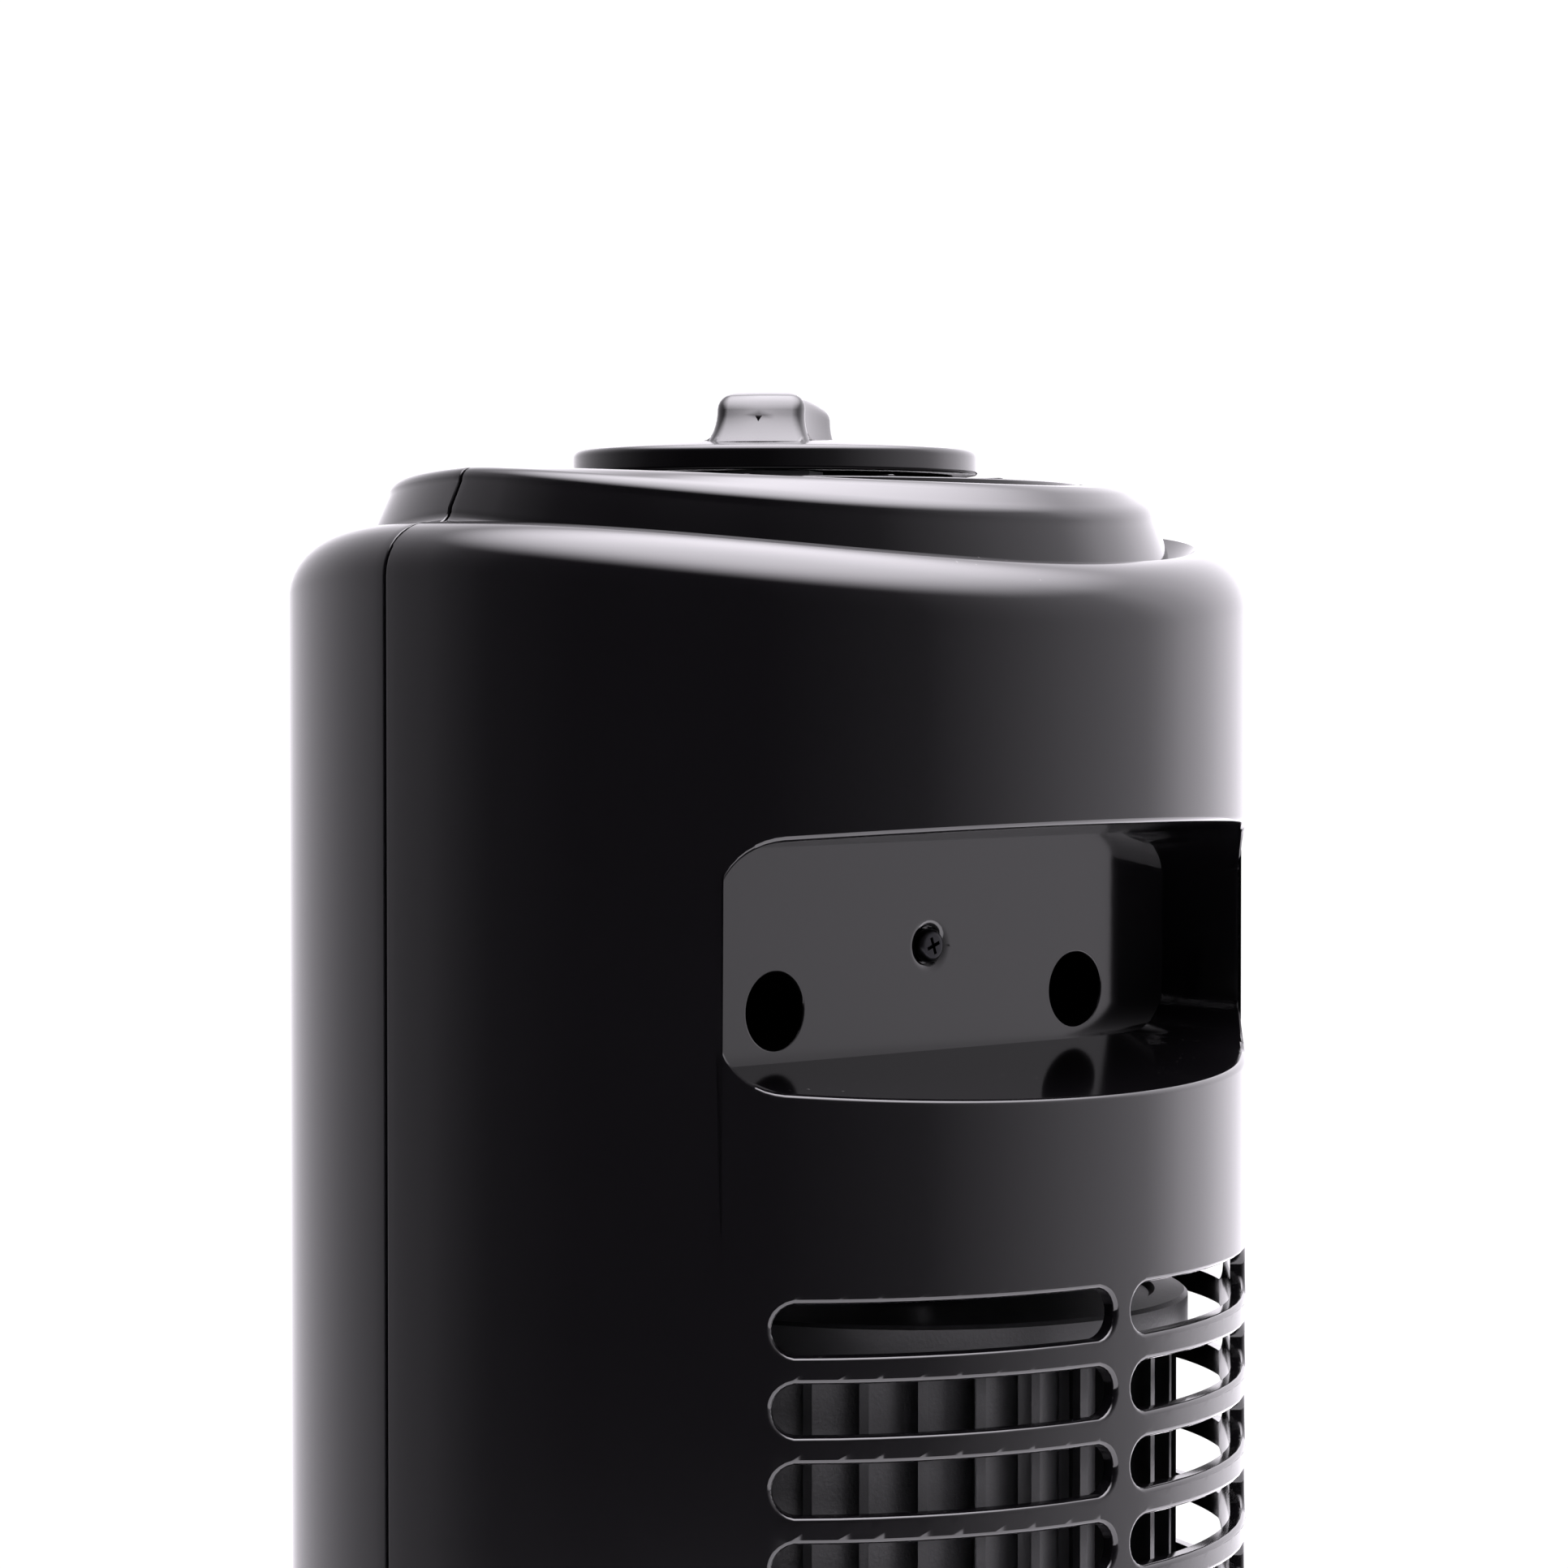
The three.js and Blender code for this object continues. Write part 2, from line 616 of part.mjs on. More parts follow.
addPiece(tower, "scroll_duct", wallAlong(scrollLine(), DUCT_WALL, ductBottom, ductTop), matte);
addPiece(tower, "cutoff_tongue", wallAlong(cutoffLine(), DUCT_WALL, ductBottom, ductTop), matte);

// ---------------------------------------------------------------- turntable and posts

const turntableBottom = BASE_TOP + 2 * GAP + SLIDE_RING.height;
const lowerDiscTop = BODY_BOTTOM - GAP;

function aroundWheel(radius, degrees) {
  return [
    WHEEL_X + radius * Math.cos(radians(degrees)),
    WHEEL_Y + radius * Math.sin(radians(degrees)),
  ];
}

function turntable() {
  const posts = POST_ANGLES.map((angle) => {
    const [x, y] = aroundWheel(POST_CIRCLE, angle);
    return bar(POST_RADIUS, TURNTABLE_TOP - 1, BRACKET_Z - GAP, x, y, 12);
  });
  const pilots = POST_ANGLES.map((angle) => {
    const [x, y] = aroundWheel(POST_CIRCLE, angle);
    return bar(SCREW.shank + GAP, BRACKET_Z - 12, BRACKET_Z, x, y, 10);
  });
  const holes = footBossPlaces.map(([x, y]) =>
    bar(SCREW.shank + GAP, lowerDiscTop - 5, TURNTABLE_TOP + 1, x, y, 10));
  const plate = prism(outline(innerClear), lowerDiscTop - 1, TURNTABLE_TOP);
  return cut(
    join(bar(TURNTABLE_RADIUS, turntableBottom, lowerDiscTop, 0, 0, 36), plate, ...posts),
    bar(PIVOT_RADIUS + GAP, 0, TURNTABLE_TOP + 1, 0, 0, 24),
    ...pilots,
    ...holes,
  );
}

addPiece(tower, "turntable", turntable(), matte);

// Screws that stand upright: with their heads up, or with their heads down.
function screwUp(parent, name, x, y, z, length, look = zinc) {
  addPiece(parent, name, screwGeometry(length), look).position.set(x, y, z);
}

function screwDown(parent, name, x, y, z, length, look = zinc) {
  const screw = addPiece(parent, name, screwGeometry(length), look);
  screw.rotation.x = Math.PI;
  screw.position.set(x, y, z);
}

footBossPlaces.forEach(([x, y], i) => {
  const headSeat = lowerDiscTop - 1 - GAP;
  screwDown(tower, `turntable_screw_${i + 1}`, x, y, headSeat, 17);
});

// ---------------------------------------------------------------- main motor

const motorTop = BRACKET_Z - GAP;
const statorTop = motorTop - MOTOR_CAP_TOP - GAP;
const statorBottom = statorTop - STATOR_HEIGHT;
const motorCapTop = statorBottom - GAP;
const motorBottom = motorCapTop - MOTOR_CAP_BOTTOM;
const shaftHole = SHAFT_RADIUS + GAP;

function motorBracket() {
  const plate = bar(BRACKET_RADIUS, BRACKET_Z, BRACKET_Z + BRACKET_THICKNESS, WHEEL_X, WHEEL_Y, 24);
  const room = prism(outline(innerClear), 0, 2 * BRACKET_Z);
  const holes = POST_ANGLES.map((angle) => {
    const [x, y] = aroundWheel(POST_CIRCLE, angle);
    return bar(SCREW.shank + GAP, BRACKET_Z - 1, BRACKET_Z + 5, x, y, 10);
  });
  const hubRoom = bar(HUB_RADIUS, BRACKET_Z - 1, BRACKET_Z + 5, WHEEL_X, WHEEL_Y);
  return cut(plate.intersect(room), hubRoom, ...holes);
}

// A cover on one end of the motor, narrower at its outer face.
function motorCap(wideZ, narrowZ) {
  const narrow = MOTOR_RADIUS * 0.72;
  const profile = [
    [shaftHole, wideZ], [MOTOR_RADIUS, wideZ], [narrow, narrowZ], [shaftHole, narrowZ],
    [shaftHole, wideZ],
  ];
  return turned(profile, WHEEL_X, WHEEL_Y, 24);
}

addPiece(tower, "motor_bracket", motorBracket(), zinc);
POST_ANGLES.forEach((angle, i) => {
  const [x, y] = aroundWheel(POST_CIRCLE, angle);
  screwUp(tower, `bracket_screw_${i + 1}`, x, y, BRACKET_Z + BRACKET_THICKNESS + GAP, 11);
});
addPiece(tower, "motor_cap_upper", motorCap(statorTop + GAP, motorTop), zinc);
addPiece(
  tower, "motor_stator",
  ring(ROTOR_RADIUS + GAP, MOTOR_RADIUS, statorBottom, statorTop, WHEEL_X, WHEEL_Y), lamination);
addPiece(tower, "motor_cap_lower", motorCap(motorCapTop, motorBottom), zinc);

// ---------------------------------------------------------------- top bearing

const tabY1 = POCKET_BACK_Y - WALL - GAP;
const tabTop = POCKET_Z + 10;
const bushBottom = TOP_BRACKET_Z + TOP_BRACKET_THICKNESS - BUSH_HEIGHT;

function topBracket() {
  const top = TOP_BRACKET_Z + TOP_BRACKET_THICKNESS;
  const plate = prism(outline(innerClear), TOP_BRACKET_Z, top);
  const tab = box(-TAB_HALF_WIDTH, TAB_HALF_WIDTH, tabY1 - TAB_THICKNESS, tabY1, top - 1, tabTop);
  return cut(
    join(plate, tab),
    bar(BUSH_RADIUS + GAP, TOP_BRACKET_Z - 1, top + 1, WHEEL_X, WHEEL_Y),
    barY(SCREW.shank + GAP, tabY1 - 10, tabY1 + 10, 0, POCKET_Z, 10),
  );
}

function bearingBush() {
  const top = TOP_BRACKET_Z + TOP_BRACKET_THICKNESS;
  const flange = BUSH_RADIUS + BUSH_FLANGE.extra;
  const flangeTop = top + GAP + BUSH_FLANGE.height;
  const profile = [
    [shaftHole, bushBottom], [BUSH_RADIUS, bushBottom], [BUSH_RADIUS, top + GAP],
    [flange, top + GAP], [flange, flangeTop], [shaftHole, flangeTop],
    [shaftHole, bushBottom],
  ];
  return turned(profile, WHEEL_X, WHEEL_Y, 20);
}

addPiece(tower, "top_bracket", topBracket(), matte);
addPiece(tower, "bearing_bush", bearingBush(), rubber);

// ---------------------------------------------------------------- blower wheel

function blade(degrees) {
  const half = THREE.MathUtils.radToDeg(BLADE_THICKNESS / 2 / BLADE_OUTER);
  const at = (radius, angle) => aroundWheel(radius, angle);
  const section = [
    at(BLADE_OUTER, degrees - half),
    at(BLADE_OUTER, degrees + half),
    at(BLADE_INNER, degrees + BLADE_LEAN + half),
    at(BLADE_INNER, degrees + BLADE_LEAN - half),
  ];
  return prism(section, WHEEL_BOTTOM + 1, WHEEL_TOP - 1);
}

const hubBottom = WHEEL_BOTTOM - HUB.below;
const grubZ = hubBottom + GRUB.up;
const STUB_DEPTH = 4; // of the stub's hole in the upper disc

function blowerWheel() {
  const plateBottom = WHEEL_TOP - WHEEL_PLATE;
  const rimInner = WHEEL_DISC_RADIUS - WHEEL_RIM.thickness;
  const rimBottom = WHEEL_TOP - WHEEL_RIM.height;
  const upperDisc = turned([
    [0, plateBottom - HUB.above], [HUB_RADIUS, plateBottom - HUB.above],
    [HUB_RADIUS, plateBottom], [rimInner, plateBottom],
    [rimInner, rimBottom], [WHEEL_DISC_RADIUS, rimBottom],
    [WHEEL_DISC_RADIUS, WHEEL_TOP], [0, WHEEL_TOP],
  ], WHEEL_X, WHEEL_Y, 30);
  const lowerDisc = turned([
    [0, hubBottom], [HUB_RADIUS - GAP, hubBottom], [HUB_RADIUS - GAP, WHEEL_BOTTOM],
    [WHEEL_DISC_RADIUS, WHEEL_BOTTOM], [WHEEL_DISC_RADIUS, WHEEL_BOTTOM + WHEEL_PLATE],
    [HUB_RADIUS, WHEEL_BOTTOM + WHEEL_PLATE], [HUB_RADIUS, WHEEL_BOTTOM + HUB.inside],
    [0, WHEEL_BOTTOM + HUB.inside],
  ], WHEEL_X, WHEEL_Y, 30);
  const blades = Array.from({ length: BLADE_COUNT }, (_, i) => blade((360 * i) / BLADE_COUNT));
  const pitch = (WHEEL_TOP - WHEEL_BOTTOM) / (WHEEL_RINGS + 1);
  const rings = Array.from({ length: WHEEL_RINGS }, (_, i) => {
    const z = WHEEL_BOTTOM + pitch * (i + 1);
    return ring(BLADE_INNER - 1, BLADE_OUTER + 1, z - 1, z + 1, WHEEL_X, WHEEL_Y, 30);
  });
  return cut(
    join(upperDisc, lowerDisc, ...blades, ...rings),
    bar(shaftHole, hubBottom - 1, WHEEL_BOTTOM + HUB.inside - 2, WHEEL_X, WHEEL_Y, 12),
    bar(shaftHole, WHEEL_TOP - STUB_DEPTH, WHEEL_TOP + 1, WHEEL_X, WHEEL_Y, 12),
    barY(GRUB.radius + GAP, WHEEL_Y - HUB_RADIUS - 1, WHEEL_Y, WHEEL_X, grubZ, 10),
  );
}

const rotorShaftTop = WHEEL_BOTTOM + HUB.inside - 2 - 1;
const rotorShaft = bar(SHAFT_RADIUS, motorBottom - 3, rotorShaftTop, WHEEL_X, WHEEL_Y, 12);
const grubEnd = WHEEL_Y - SHAFT_RADIUS - GAP;
const wheelStub = bar(
  SHAFT_RADIUS, WHEEL_TOP - STUB_DEPTH + GAP, TOP_BRACKET_Z + TOP_BRACKET_THICKNESS + 4,
  WHEEL_X, WHEEL_Y, 12);

addPiece(fan, "blower_wheel", blowerWheel(), blower);
addPiece(fan, "motor_shaft", rotorShaft, steel);
addPiece(
  fan, "motor_rotor",
  ring(shaftHole, ROTOR_RADIUS - GAP, statorBottom + 2, statorTop - 2, WHEEL_X, WHEEL_Y), lamination);
addPiece(fan, "wheel_stub", wheelStub, steel);
addPiece(
  fan, "grub_screw",
  barY(GRUB.radius, WHEEL_Y - HUB_RADIUS + 2 * GAP, grubEnd, WHEEL_X, grubZ, 10), steel);

// ---------------------------------------------------------------- dial, switch and knob

const dialTicks = { count: 7, step: 30, inner: 37, outer: 44, width: 1.2, height: 0.5 };
const switchTop = BODY_TOP - TOP_WALL - GAP - SWITCH_DROP;
const switchBottom = switchTop - SWITCH_HEIGHT;

// A short raised line on the dial, pointing at the knob's axis.
function dialTick(degrees) {
  const { inner, outer, width, height } = dialTicks;
  const geometry = new THREE.BoxGeometry(outer - inner, width, DIAL_THICKNESS / 2 + height);
  geometry.translate((inner + outer) / 2, 0, DIAL_TOP + height / 2 - DIAL_THICKNESS / 4);
  geometry.rotateZ(radians(degrees));
  return solid(geometry);
}

function dialPlate() {
  const { count, step } = dialTicks;
  const ticks = Array.from({ length: count }, (_, i) =>
    dialTick(POINTER_ANGLE + step * (i - (count - 1) / 2)));
  const plate = bar(DIAL_RADIUS, DIAL_TOP - DIAL_THICKNESS, DIAL_TOP, 0, 0, 36);
  return cut(
    join(plate, ...ticks), bar(SWITCH_BUSH_RADIUS + GAP, DIAL_TOP - 5, DIAL_TOP + 5, 0, 0));
}

function switchBody() {
  const bushTop = DIAL_TOP + GAP + NUT_HEIGHT + 0.2;
  return cut(
    join(
      bar(SWITCH_RADIUS, switchBottom, switchTop, 0, 0, 20),
      bar(SWITCH_BUSH_RADIUS, switchTop - 1, bushTop, 0, 0)),
    bar(SHAFT_RADIUS + GAP, switchTop - 12, bushTop + 1, 0, 0, 12),
  );
}

// The bar across the knob: rounded ends, and flanks that curve in to a waist.
function gripOutline() {
  const shape = new THREE.Shape();
  const end = GRIP_HALF_LENGTH;
  const wide = GRIP_END_WIDTH / 2;
  const waist = GRIP_WAIST - wide;
  shape.moveTo(end - 3, -wide);
  shape.quadraticCurveTo(end + 3, 0, end - 3, wide);
  shape.quadraticCurveTo(0, waist, -end + 3, wide);
  shape.quadraticCurveTo(-end - 3, 0, -end + 3, -wide);
  shape.quadraticCurveTo(0, -waist, end - 3, -wide);
  return shape;
}

function controlKnob() {
  const discTop = KNOB_BOTTOM + KNOB_DISC;
  const disc = turned([
    [0, KNOB_BOTTOM], [KNOB_RADIUS - 1, KNOB_BOTTOM], [KNOB_RADIUS, KNOB_BOTTOM + 1],
    [KNOB_RADIUS - 0.6, discTop - 1.2], [KNOB_RADIUS - 3, discTop], [0, discTop],
  ], 0, 0, 36);
  const grip = new THREE.ExtrudeGeometry(gripOutline(), {
    depth: KNOB_TOP - discTop, bevelEnabled: true, bevelThickness: 1, bevelSize: 1,
    bevelOffset: -1, bevelSegments: 1, curveSegments: 6,
  });
  grip.scale(1, 1, (KNOB_TOP - discTop + 1) / (KNOB_TOP - discTop + 2));
  grip.translate(0, 0, discTop);
  grip.rotateZ(radians(POINTER_ANGLE));
  const hollow = DIAL_TOP + 2 * GAP + NUT_HEIGHT + 0.6;
  return cut(
    join(disc, solid(grip)),
    bar(KNOB_RADIUS - 4, KNOB_BOTTOM - 1, hollow, 0, 0, 24),
    bar(SHAFT_RADIUS + GAP, KNOB_BOTTOM - 1, KNOB_TOP - 3.5, 0, 0, 12),
  );
}

addPiece(tower, "dial_plate", dialPlate(), gloss);
addPiece(tower, "switch_body", switchBody(), matte);
addPiece(
  tower, "switch_nut",
  cut(
    bar(NUT_RADIUS, DIAL_TOP + GAP, DIAL_TOP + GAP + NUT_HEIGHT, 0, 0, 6),
    bar(SWITCH_BUSH_RADIUS + GAP, DIAL_TOP, DIAL_TOP + 2 * NUT_HEIGHT, 0, 0)),
  zinc);
addPiece(fan, "control_knob", controlKnob(), gloss);
addPiece(
  fan, "switch_shaft", bar(SHAFT_RADIUS, switchTop - 11, KNOB_TOP - 4, 0, 0, 12), nylon);

// ---------------------------------------------------------------- swing joint

const armTop = BASE_TOP - BASE_WALL - RUNNING_GAP;
const armBottom = armTop - ARM_THICKNESS;
const crankTop = armBottom - RUNNING_GAP;
const crankBottom = crankTop - CRANK_THICKNESS;
const clipTop = armBottom - GAP;

function pivotTube() {
  const flangeTop = TURNTABLE_TOP + GAP + FLANGE_THICKNESS;
  const profile = [
    [PIVOT_BORE, clipTop - 4], [PIVOT_RADIUS, clipTop - 4], [PIVOT_RADIUS, TURNTABLE_TOP + GAP],
    [PIVOT_FLANGE, TURNTABLE_TOP + GAP], [PIVOT_FLANGE, flangeTop],
    [PIVOT_BORE, flangeTop], [PIVOT_BORE, clipTop - 4],
  ];
  return turned(profile, 0, 0, 24);
}

// The arm that the crank pin drives, with its slot along the arm.
function swingArm() {
  const halfSlot = CRANK_PIN_RADIUS + ARM_SLOT_CLEARANCE;
  const halfWidth = halfSlot + 4;
  const slotFrom = CRANK_Y - CRANK_THROW - CRANK_PIN_RADIUS + 9;
  return cut(
    join(
      bar(ARM_HUB, armBottom, armTop, 0, 0, 24),
      box(-halfWidth, halfWidth, 0, ARM_LENGTH, armBottom, armTop)),
    bar(PIVOT_RADIUS + GAP, armBottom - 1, armTop + 1, 0, 0, 24),
    box(-halfSlot, halfSlot, slotFrom, ARM_LENGTH - 4, armBottom - 1, armTop + 1),
  );
}

function retainingClip() {
  const clip = ring(PIVOT_RADIUS + GAP, PIVOT_RADIUS + 4, clipTop - 1.6, clipTop, 0, 0, 24);
  const mouth = PIVOT_RADIUS * 0.7;
  return cut(clip, box(-mouth, mouth, -FAR, 0, clipTop - 5, clipTop + 5));
}

function swingCrank() {
  const shaftZ = crankBottom - GAP - 1;
  const lever = prism(
    [[-7, CRANK_Y - 7], [7, CRANK_Y - 7], [5, CRANK_Y + CRANK_THROW + 4],
      [-5, CRANK_Y + CRANK_THROW + 4]], crankBottom, crankTop);
  return join(
    lever,
    bar(CRANK_PIN_RADIUS, crankTop - 1, armTop, 0, CRANK_Y + CRANK_THROW, 12),
    bar(SHAFT_RADIUS, shaftZ - 3, crankBottom + 1, 0, CRANK_Y, 12),
  );
}

addPiece(tower, "pivot_tube", pivotTube(), steel);
addPiece(tower, "swing_arm", swingArm(), nylon);
addPiece(tower, "retaining_clip", retainingClip(), steel);
addPiece(fan, "swing_crank", swingCrank(), nylon);

// ---------------------------------------------------------------- base

const plateBottom = FOOT_HEIGHT + GAP;
const plateTop = plateBottom + BASE_PLATE_THICKNESS;
const BASE_SCREW_ANGLES = [22, 158, 202, 338];
const footAngles = [45, 135, 225, 315];

function around(radius, degrees) {
  return [radius * Math.cos(radians(degrees)), radius * Math.sin(radians(degrees))];
}

// The base's domed outline from the rim up to the hub, moved in by a wall.
function baseDome(wall) {
  const reach = BASE_RADIUS - BASE_HUB_RADIUS - wall;
  const rise = BASE_TOP - BASE_RIM_TOP - wall;
  const steps = 4;
  return Array.from({ length: steps + 1 }, (_, i) => {
    const turn = (Math.PI / 2) * (i / steps);
    return [BASE_HUB_RADIUS + reach * Math.cos(turn), BASE_RIM_TOP + rise * Math.sin(turn)];
  });
}

function baseCover() {
  const hole = PIVOT_RADIUS + GAP;
  const section = [
    [BASE_RADIUS - 1, plateBottom], [BASE_RADIUS, plateBottom + 1], ...baseDome(0),
    [hole, BASE_TOP], [hole, BASE_TOP - BASE_WALL], ...baseDome(BASE_WALL).reverse(),
    [BASE_RADIUS - BASE_WALL, plateBottom], [BASE_RADIUS - 1, plateBottom],
  ];
  const half = BASE_WALL / 2;
  const domeBlock = turned(
    [[0, 0], [BASE_RADIUS - half, 0], ...baseDome(half), [0, BASE_TOP - half]], 0, 0, BASE_SIDES);
  const posts = BASE_SCREW_ANGLES.map((angle) => {
    const [x, y] = around(BASE_SCREW_CIRCLE, angle);
    return bar(BASE_POST_RADIUS, plateTop + GAP, BASE_TOP, x, y, 12);
  });
  const pilots = BASE_SCREW_ANGLES.map((angle) => {
    const [x, y] = around(BASE_SCREW_CIRCLE, angle);
    return bar(SCREW.shank + GAP, plateTop - 1, BASE_RIM_TOP, x, y, 10);
  });
  return cut(
    join(turned(section, 0, 0, BASE_SIDES), join(...posts).intersect(domeBlock)),
    barY(GLAND_RADIUS + GAP, BASE_RADIUS - 10, BASE_RADIUS + 5, 0, GLAND_Z, 12),
    barY(GLAND_FLANGE + GAP, BASE_RADIUS - GLAND_FLANGE_DEPTH - GAP, BASE_RADIUS + 5, 0, GLAND_Z, 12),
    ...pilots,
  );
}

const earPlaces = [-1, 1].map((side) =>
  [side * (SWING_MOTOR_RADIUS + SWING_MOTOR_EAR.reach), CRANK_Y]);
const earTop = plateTop + SWING_MOTOR_EAR.height;

function basePlate() {
  const holes = BASE_SCREW_ANGLES.map((angle) => {
    const [x, y] = around(BASE_SCREW_CIRCLE, angle);
    return bar(SCREW.shank + GAP, 0, plateTop + 1, x, y, 10);
  });
  const earPosts = earPlaces.map(([x, y]) =>
    bar(SWING_MOTOR_EAR.radius, plateTop - 1, earTop, x, y, 12));
  const earPilots = earPlaces.map(([x, y]) =>
    bar(SCREW.shank + GAP, plateTop - 1, earTop + 1, x, y, 10));
  const disc = bar(BASE_RADIUS - BASE_WALL - 2 * GAP, plateBottom, plateTop, 0, 0, BASE_SIDES);
  return cut(join(disc, ...earPosts), ...holes, ...earPilots);
}

function swingMotor() {
  const earZ = earTop + GAP;
  const { radius, thickness } = SWING_MOTOR_EAR;
  const ears = earPlaces.map(([x, y]) => bar(radius, earZ, earZ + thickness, x, y, 12));
  const [[left], [right]] = earPlaces;
  const strap = box(left, right, CRANK_Y - 3, CRANK_Y + 3, earZ, earZ + thickness);
  const holes = earPlaces.map(([x, y]) => bar(SCREW.shank + GAP, earZ - 1, earZ + 3, x, y, 10));
  return cut(
    join(
      bar(SWING_MOTOR_RADIUS, plateTop + GAP, crankBottom - GAP, 0, CRANK_Y, 24), strap, ...ears),
    bar(SHAFT_RADIUS + GAP, crankBottom - GAP - 6, crankBottom + 1, 0, CRANK_Y, 12),
    ...holes,
  );
}

// A rubber collar in the rim, for the mains lead to pass through.
function cordGland() {
  const outside = BASE_RADIUS;
  const neckEnd = outside - GLAND_FLANGE_DEPTH;
  const neckStart = outside - BASE_WALL - GLAND_INSIDE;
  const profile = [
    [GLAND_BORE, neckStart - 2.4], [GLAND_FLANGE, neckStart - 2.4], [GLAND_FLANGE, neckStart],
    [GLAND_RADIUS, neckStart], [GLAND_RADIUS, neckEnd], [GLAND_FLANGE, neckEnd],
    [GLAND_FLANGE - 0.8, outside], [GLAND_BORE, outside], [GLAND_BORE, neckStart - 2.4],
  ].map(([r, y]) => new THREE.Vector2(r, y));
  const geometry = new THREE.LatheGeometry(profile, 12);
  geometry.translate(0, 0, GLAND_Z);
  return geometryOf(solid(geometry));
}

addPiece(fan, "base_cover", baseCover(), gloss);
addPiece(fan, "base_plate", basePlate(), matte);
footAngles.forEach((angle, i) => {
  const [x, y] = around(FOOT_CIRCLE, angle);
  addPiece(fan, `foot_${i + 1}`, bar(FOOT_RADIUS, 0, FOOT_HEIGHT, x, y, 20), rubber);
});
BASE_SCREW_ANGLES.forEach((angle, i) => {
  const [x, y] = around(BASE_SCREW_CIRCLE, angle);
  screwDown(fan, `base_screw_${i + 1}`, x, y, plateBottom - GAP, 9);
});
addPiece(fan, "cord_gland", cordGland(), rubber);
addPiece(
  fan, "slide_ring",
  ring(SLIDE_RING.inner, SLIDE_RING.outer, BASE_TOP + GAP, BASE_TOP + GAP + SLIDE_RING.height, 0, 0, 36),
  nylon);
addPiece(fan, "swing_motor", swingMotor(), zinc);
const earScrewSeat = earTop + 2 * GAP + SWING_MOTOR_EAR.thickness;
earPlaces.forEach(([x, y], i) => {
  screwUp(fan, `swing_motor_screw_${i + 1}`, x, y, earScrewSeat, 6);
});

export default fan;
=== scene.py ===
"""A glossy tower fan on a round base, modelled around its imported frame."""

import json
import math

import bmesh
import bpy
from bpy.props import FloatProperty, FloatVectorProperty, IntProperty, PointerProperty
from mathutils import Matrix, Vector


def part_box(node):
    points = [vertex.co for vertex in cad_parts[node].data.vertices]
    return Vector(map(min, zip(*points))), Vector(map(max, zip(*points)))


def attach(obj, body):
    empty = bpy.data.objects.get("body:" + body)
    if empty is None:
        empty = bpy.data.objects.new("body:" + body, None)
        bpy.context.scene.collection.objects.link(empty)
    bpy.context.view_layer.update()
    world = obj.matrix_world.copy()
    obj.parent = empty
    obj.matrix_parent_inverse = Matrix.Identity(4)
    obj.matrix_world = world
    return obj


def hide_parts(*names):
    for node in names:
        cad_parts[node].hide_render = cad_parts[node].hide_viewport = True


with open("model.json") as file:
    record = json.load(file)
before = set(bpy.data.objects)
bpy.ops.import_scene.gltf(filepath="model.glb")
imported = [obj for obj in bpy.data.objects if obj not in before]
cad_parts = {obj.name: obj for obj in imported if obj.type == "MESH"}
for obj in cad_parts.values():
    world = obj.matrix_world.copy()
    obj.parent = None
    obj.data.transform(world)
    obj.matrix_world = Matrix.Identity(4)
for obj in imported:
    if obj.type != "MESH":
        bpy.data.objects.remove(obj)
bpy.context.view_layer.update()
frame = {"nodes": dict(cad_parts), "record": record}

bl_info = {
    "name": "Tower Fan",
    "version": (1, 0, 0),
    "blender": (4, 5, 0),
    "location": "View3D > Sidebar > Tower Fan",
    "description": "Builds a tower fan with a handle pocket, a slotted back and a control knob",
    "category": "Add Mesh",
}

MM = 0.001
SHELL_LOW, SHELL_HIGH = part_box("rear_shell")
WHEEL_LOW, WHEEL_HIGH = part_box("blower_wheel")
KNOB_LOW, KNOB_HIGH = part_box("control_knob")
DIAL_LOW, DIAL_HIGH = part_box("dial_plate")
BASE_LOW, BASE_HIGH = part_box("base_cover")
PLATE_LOW, PLATE_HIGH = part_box("base_plate")
GRILLE_LOW, GRILLE_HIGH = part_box("front_grille")
SCREW_LOW, SCREW_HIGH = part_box("pocket_screw")

WHEEL_CENTRE = ((WHEEL_LOW.x + WHEEL_HIGH.x) / 2, (WHEEL_LOW.y + WHEEL_HIGH.y) / 2)
BODY_RADIUS = SHELL_HIGH.x
BODY_CENTRE_Y = SHELL_HIGH.y - BODY_RADIUS
BODY_SIDES = 192
OUTWARD_CORNER = 0.6  # radians; an edge that turns out by more than this is a corner

# start and end of each column of intake slots, in degrees from +X
INTAKE_COLUMNS = ((45, 88.6), (91.4, 134.8), (142, 176))
SWIVEL_HOLE = 13 * MM  # bore for the pivot tube in the base and the turntable
POINTER = math.radians(41)  # where the knob points
KNOB_SETTINGS = 7
SETTING_STEP = math.radians(30)
BLADES = 30
BLADE_LEAN = math.radians(14)

FLOOR_RADIUS = 2.2
CAMERA_PLACE = (0.52237, 0.55605, 0.68457)
CAMERA_TARGET = (-0.0008, 0.0012, 0.66076)
CAMERA_LENS = 107.15  # millimetres, on a sensor 36 mm wide
ROOM = (
    # direction in degrees from +X, brightness
    (-180, 2.7), (-133, 2.1), (-108, 1.35), (-80, 0.85), (-52, 0.32), (-30, 0.08), (-5, 0.02),
    (42, 0.02), (62, 0.1), (80, 0.2), (98, 0.6), (120, 1.15), (145, 1.6), (160, 2.5), (180, 2.7),
)
ROOM_TINT = (0.97, 0.93, 1.0, 1)
CEILING_START, CEILING_END = 0.62, 1.02  # upward share of a direction
CEILING_BRIGHTNESS = 13.0
BACKDROP_BRIGHTNESS = 1.1


# ------------------------------------------------------------------ settings


def length(name, value, description):
    return FloatProperty(name=name, description=description, default=value, unit="LENGTH")


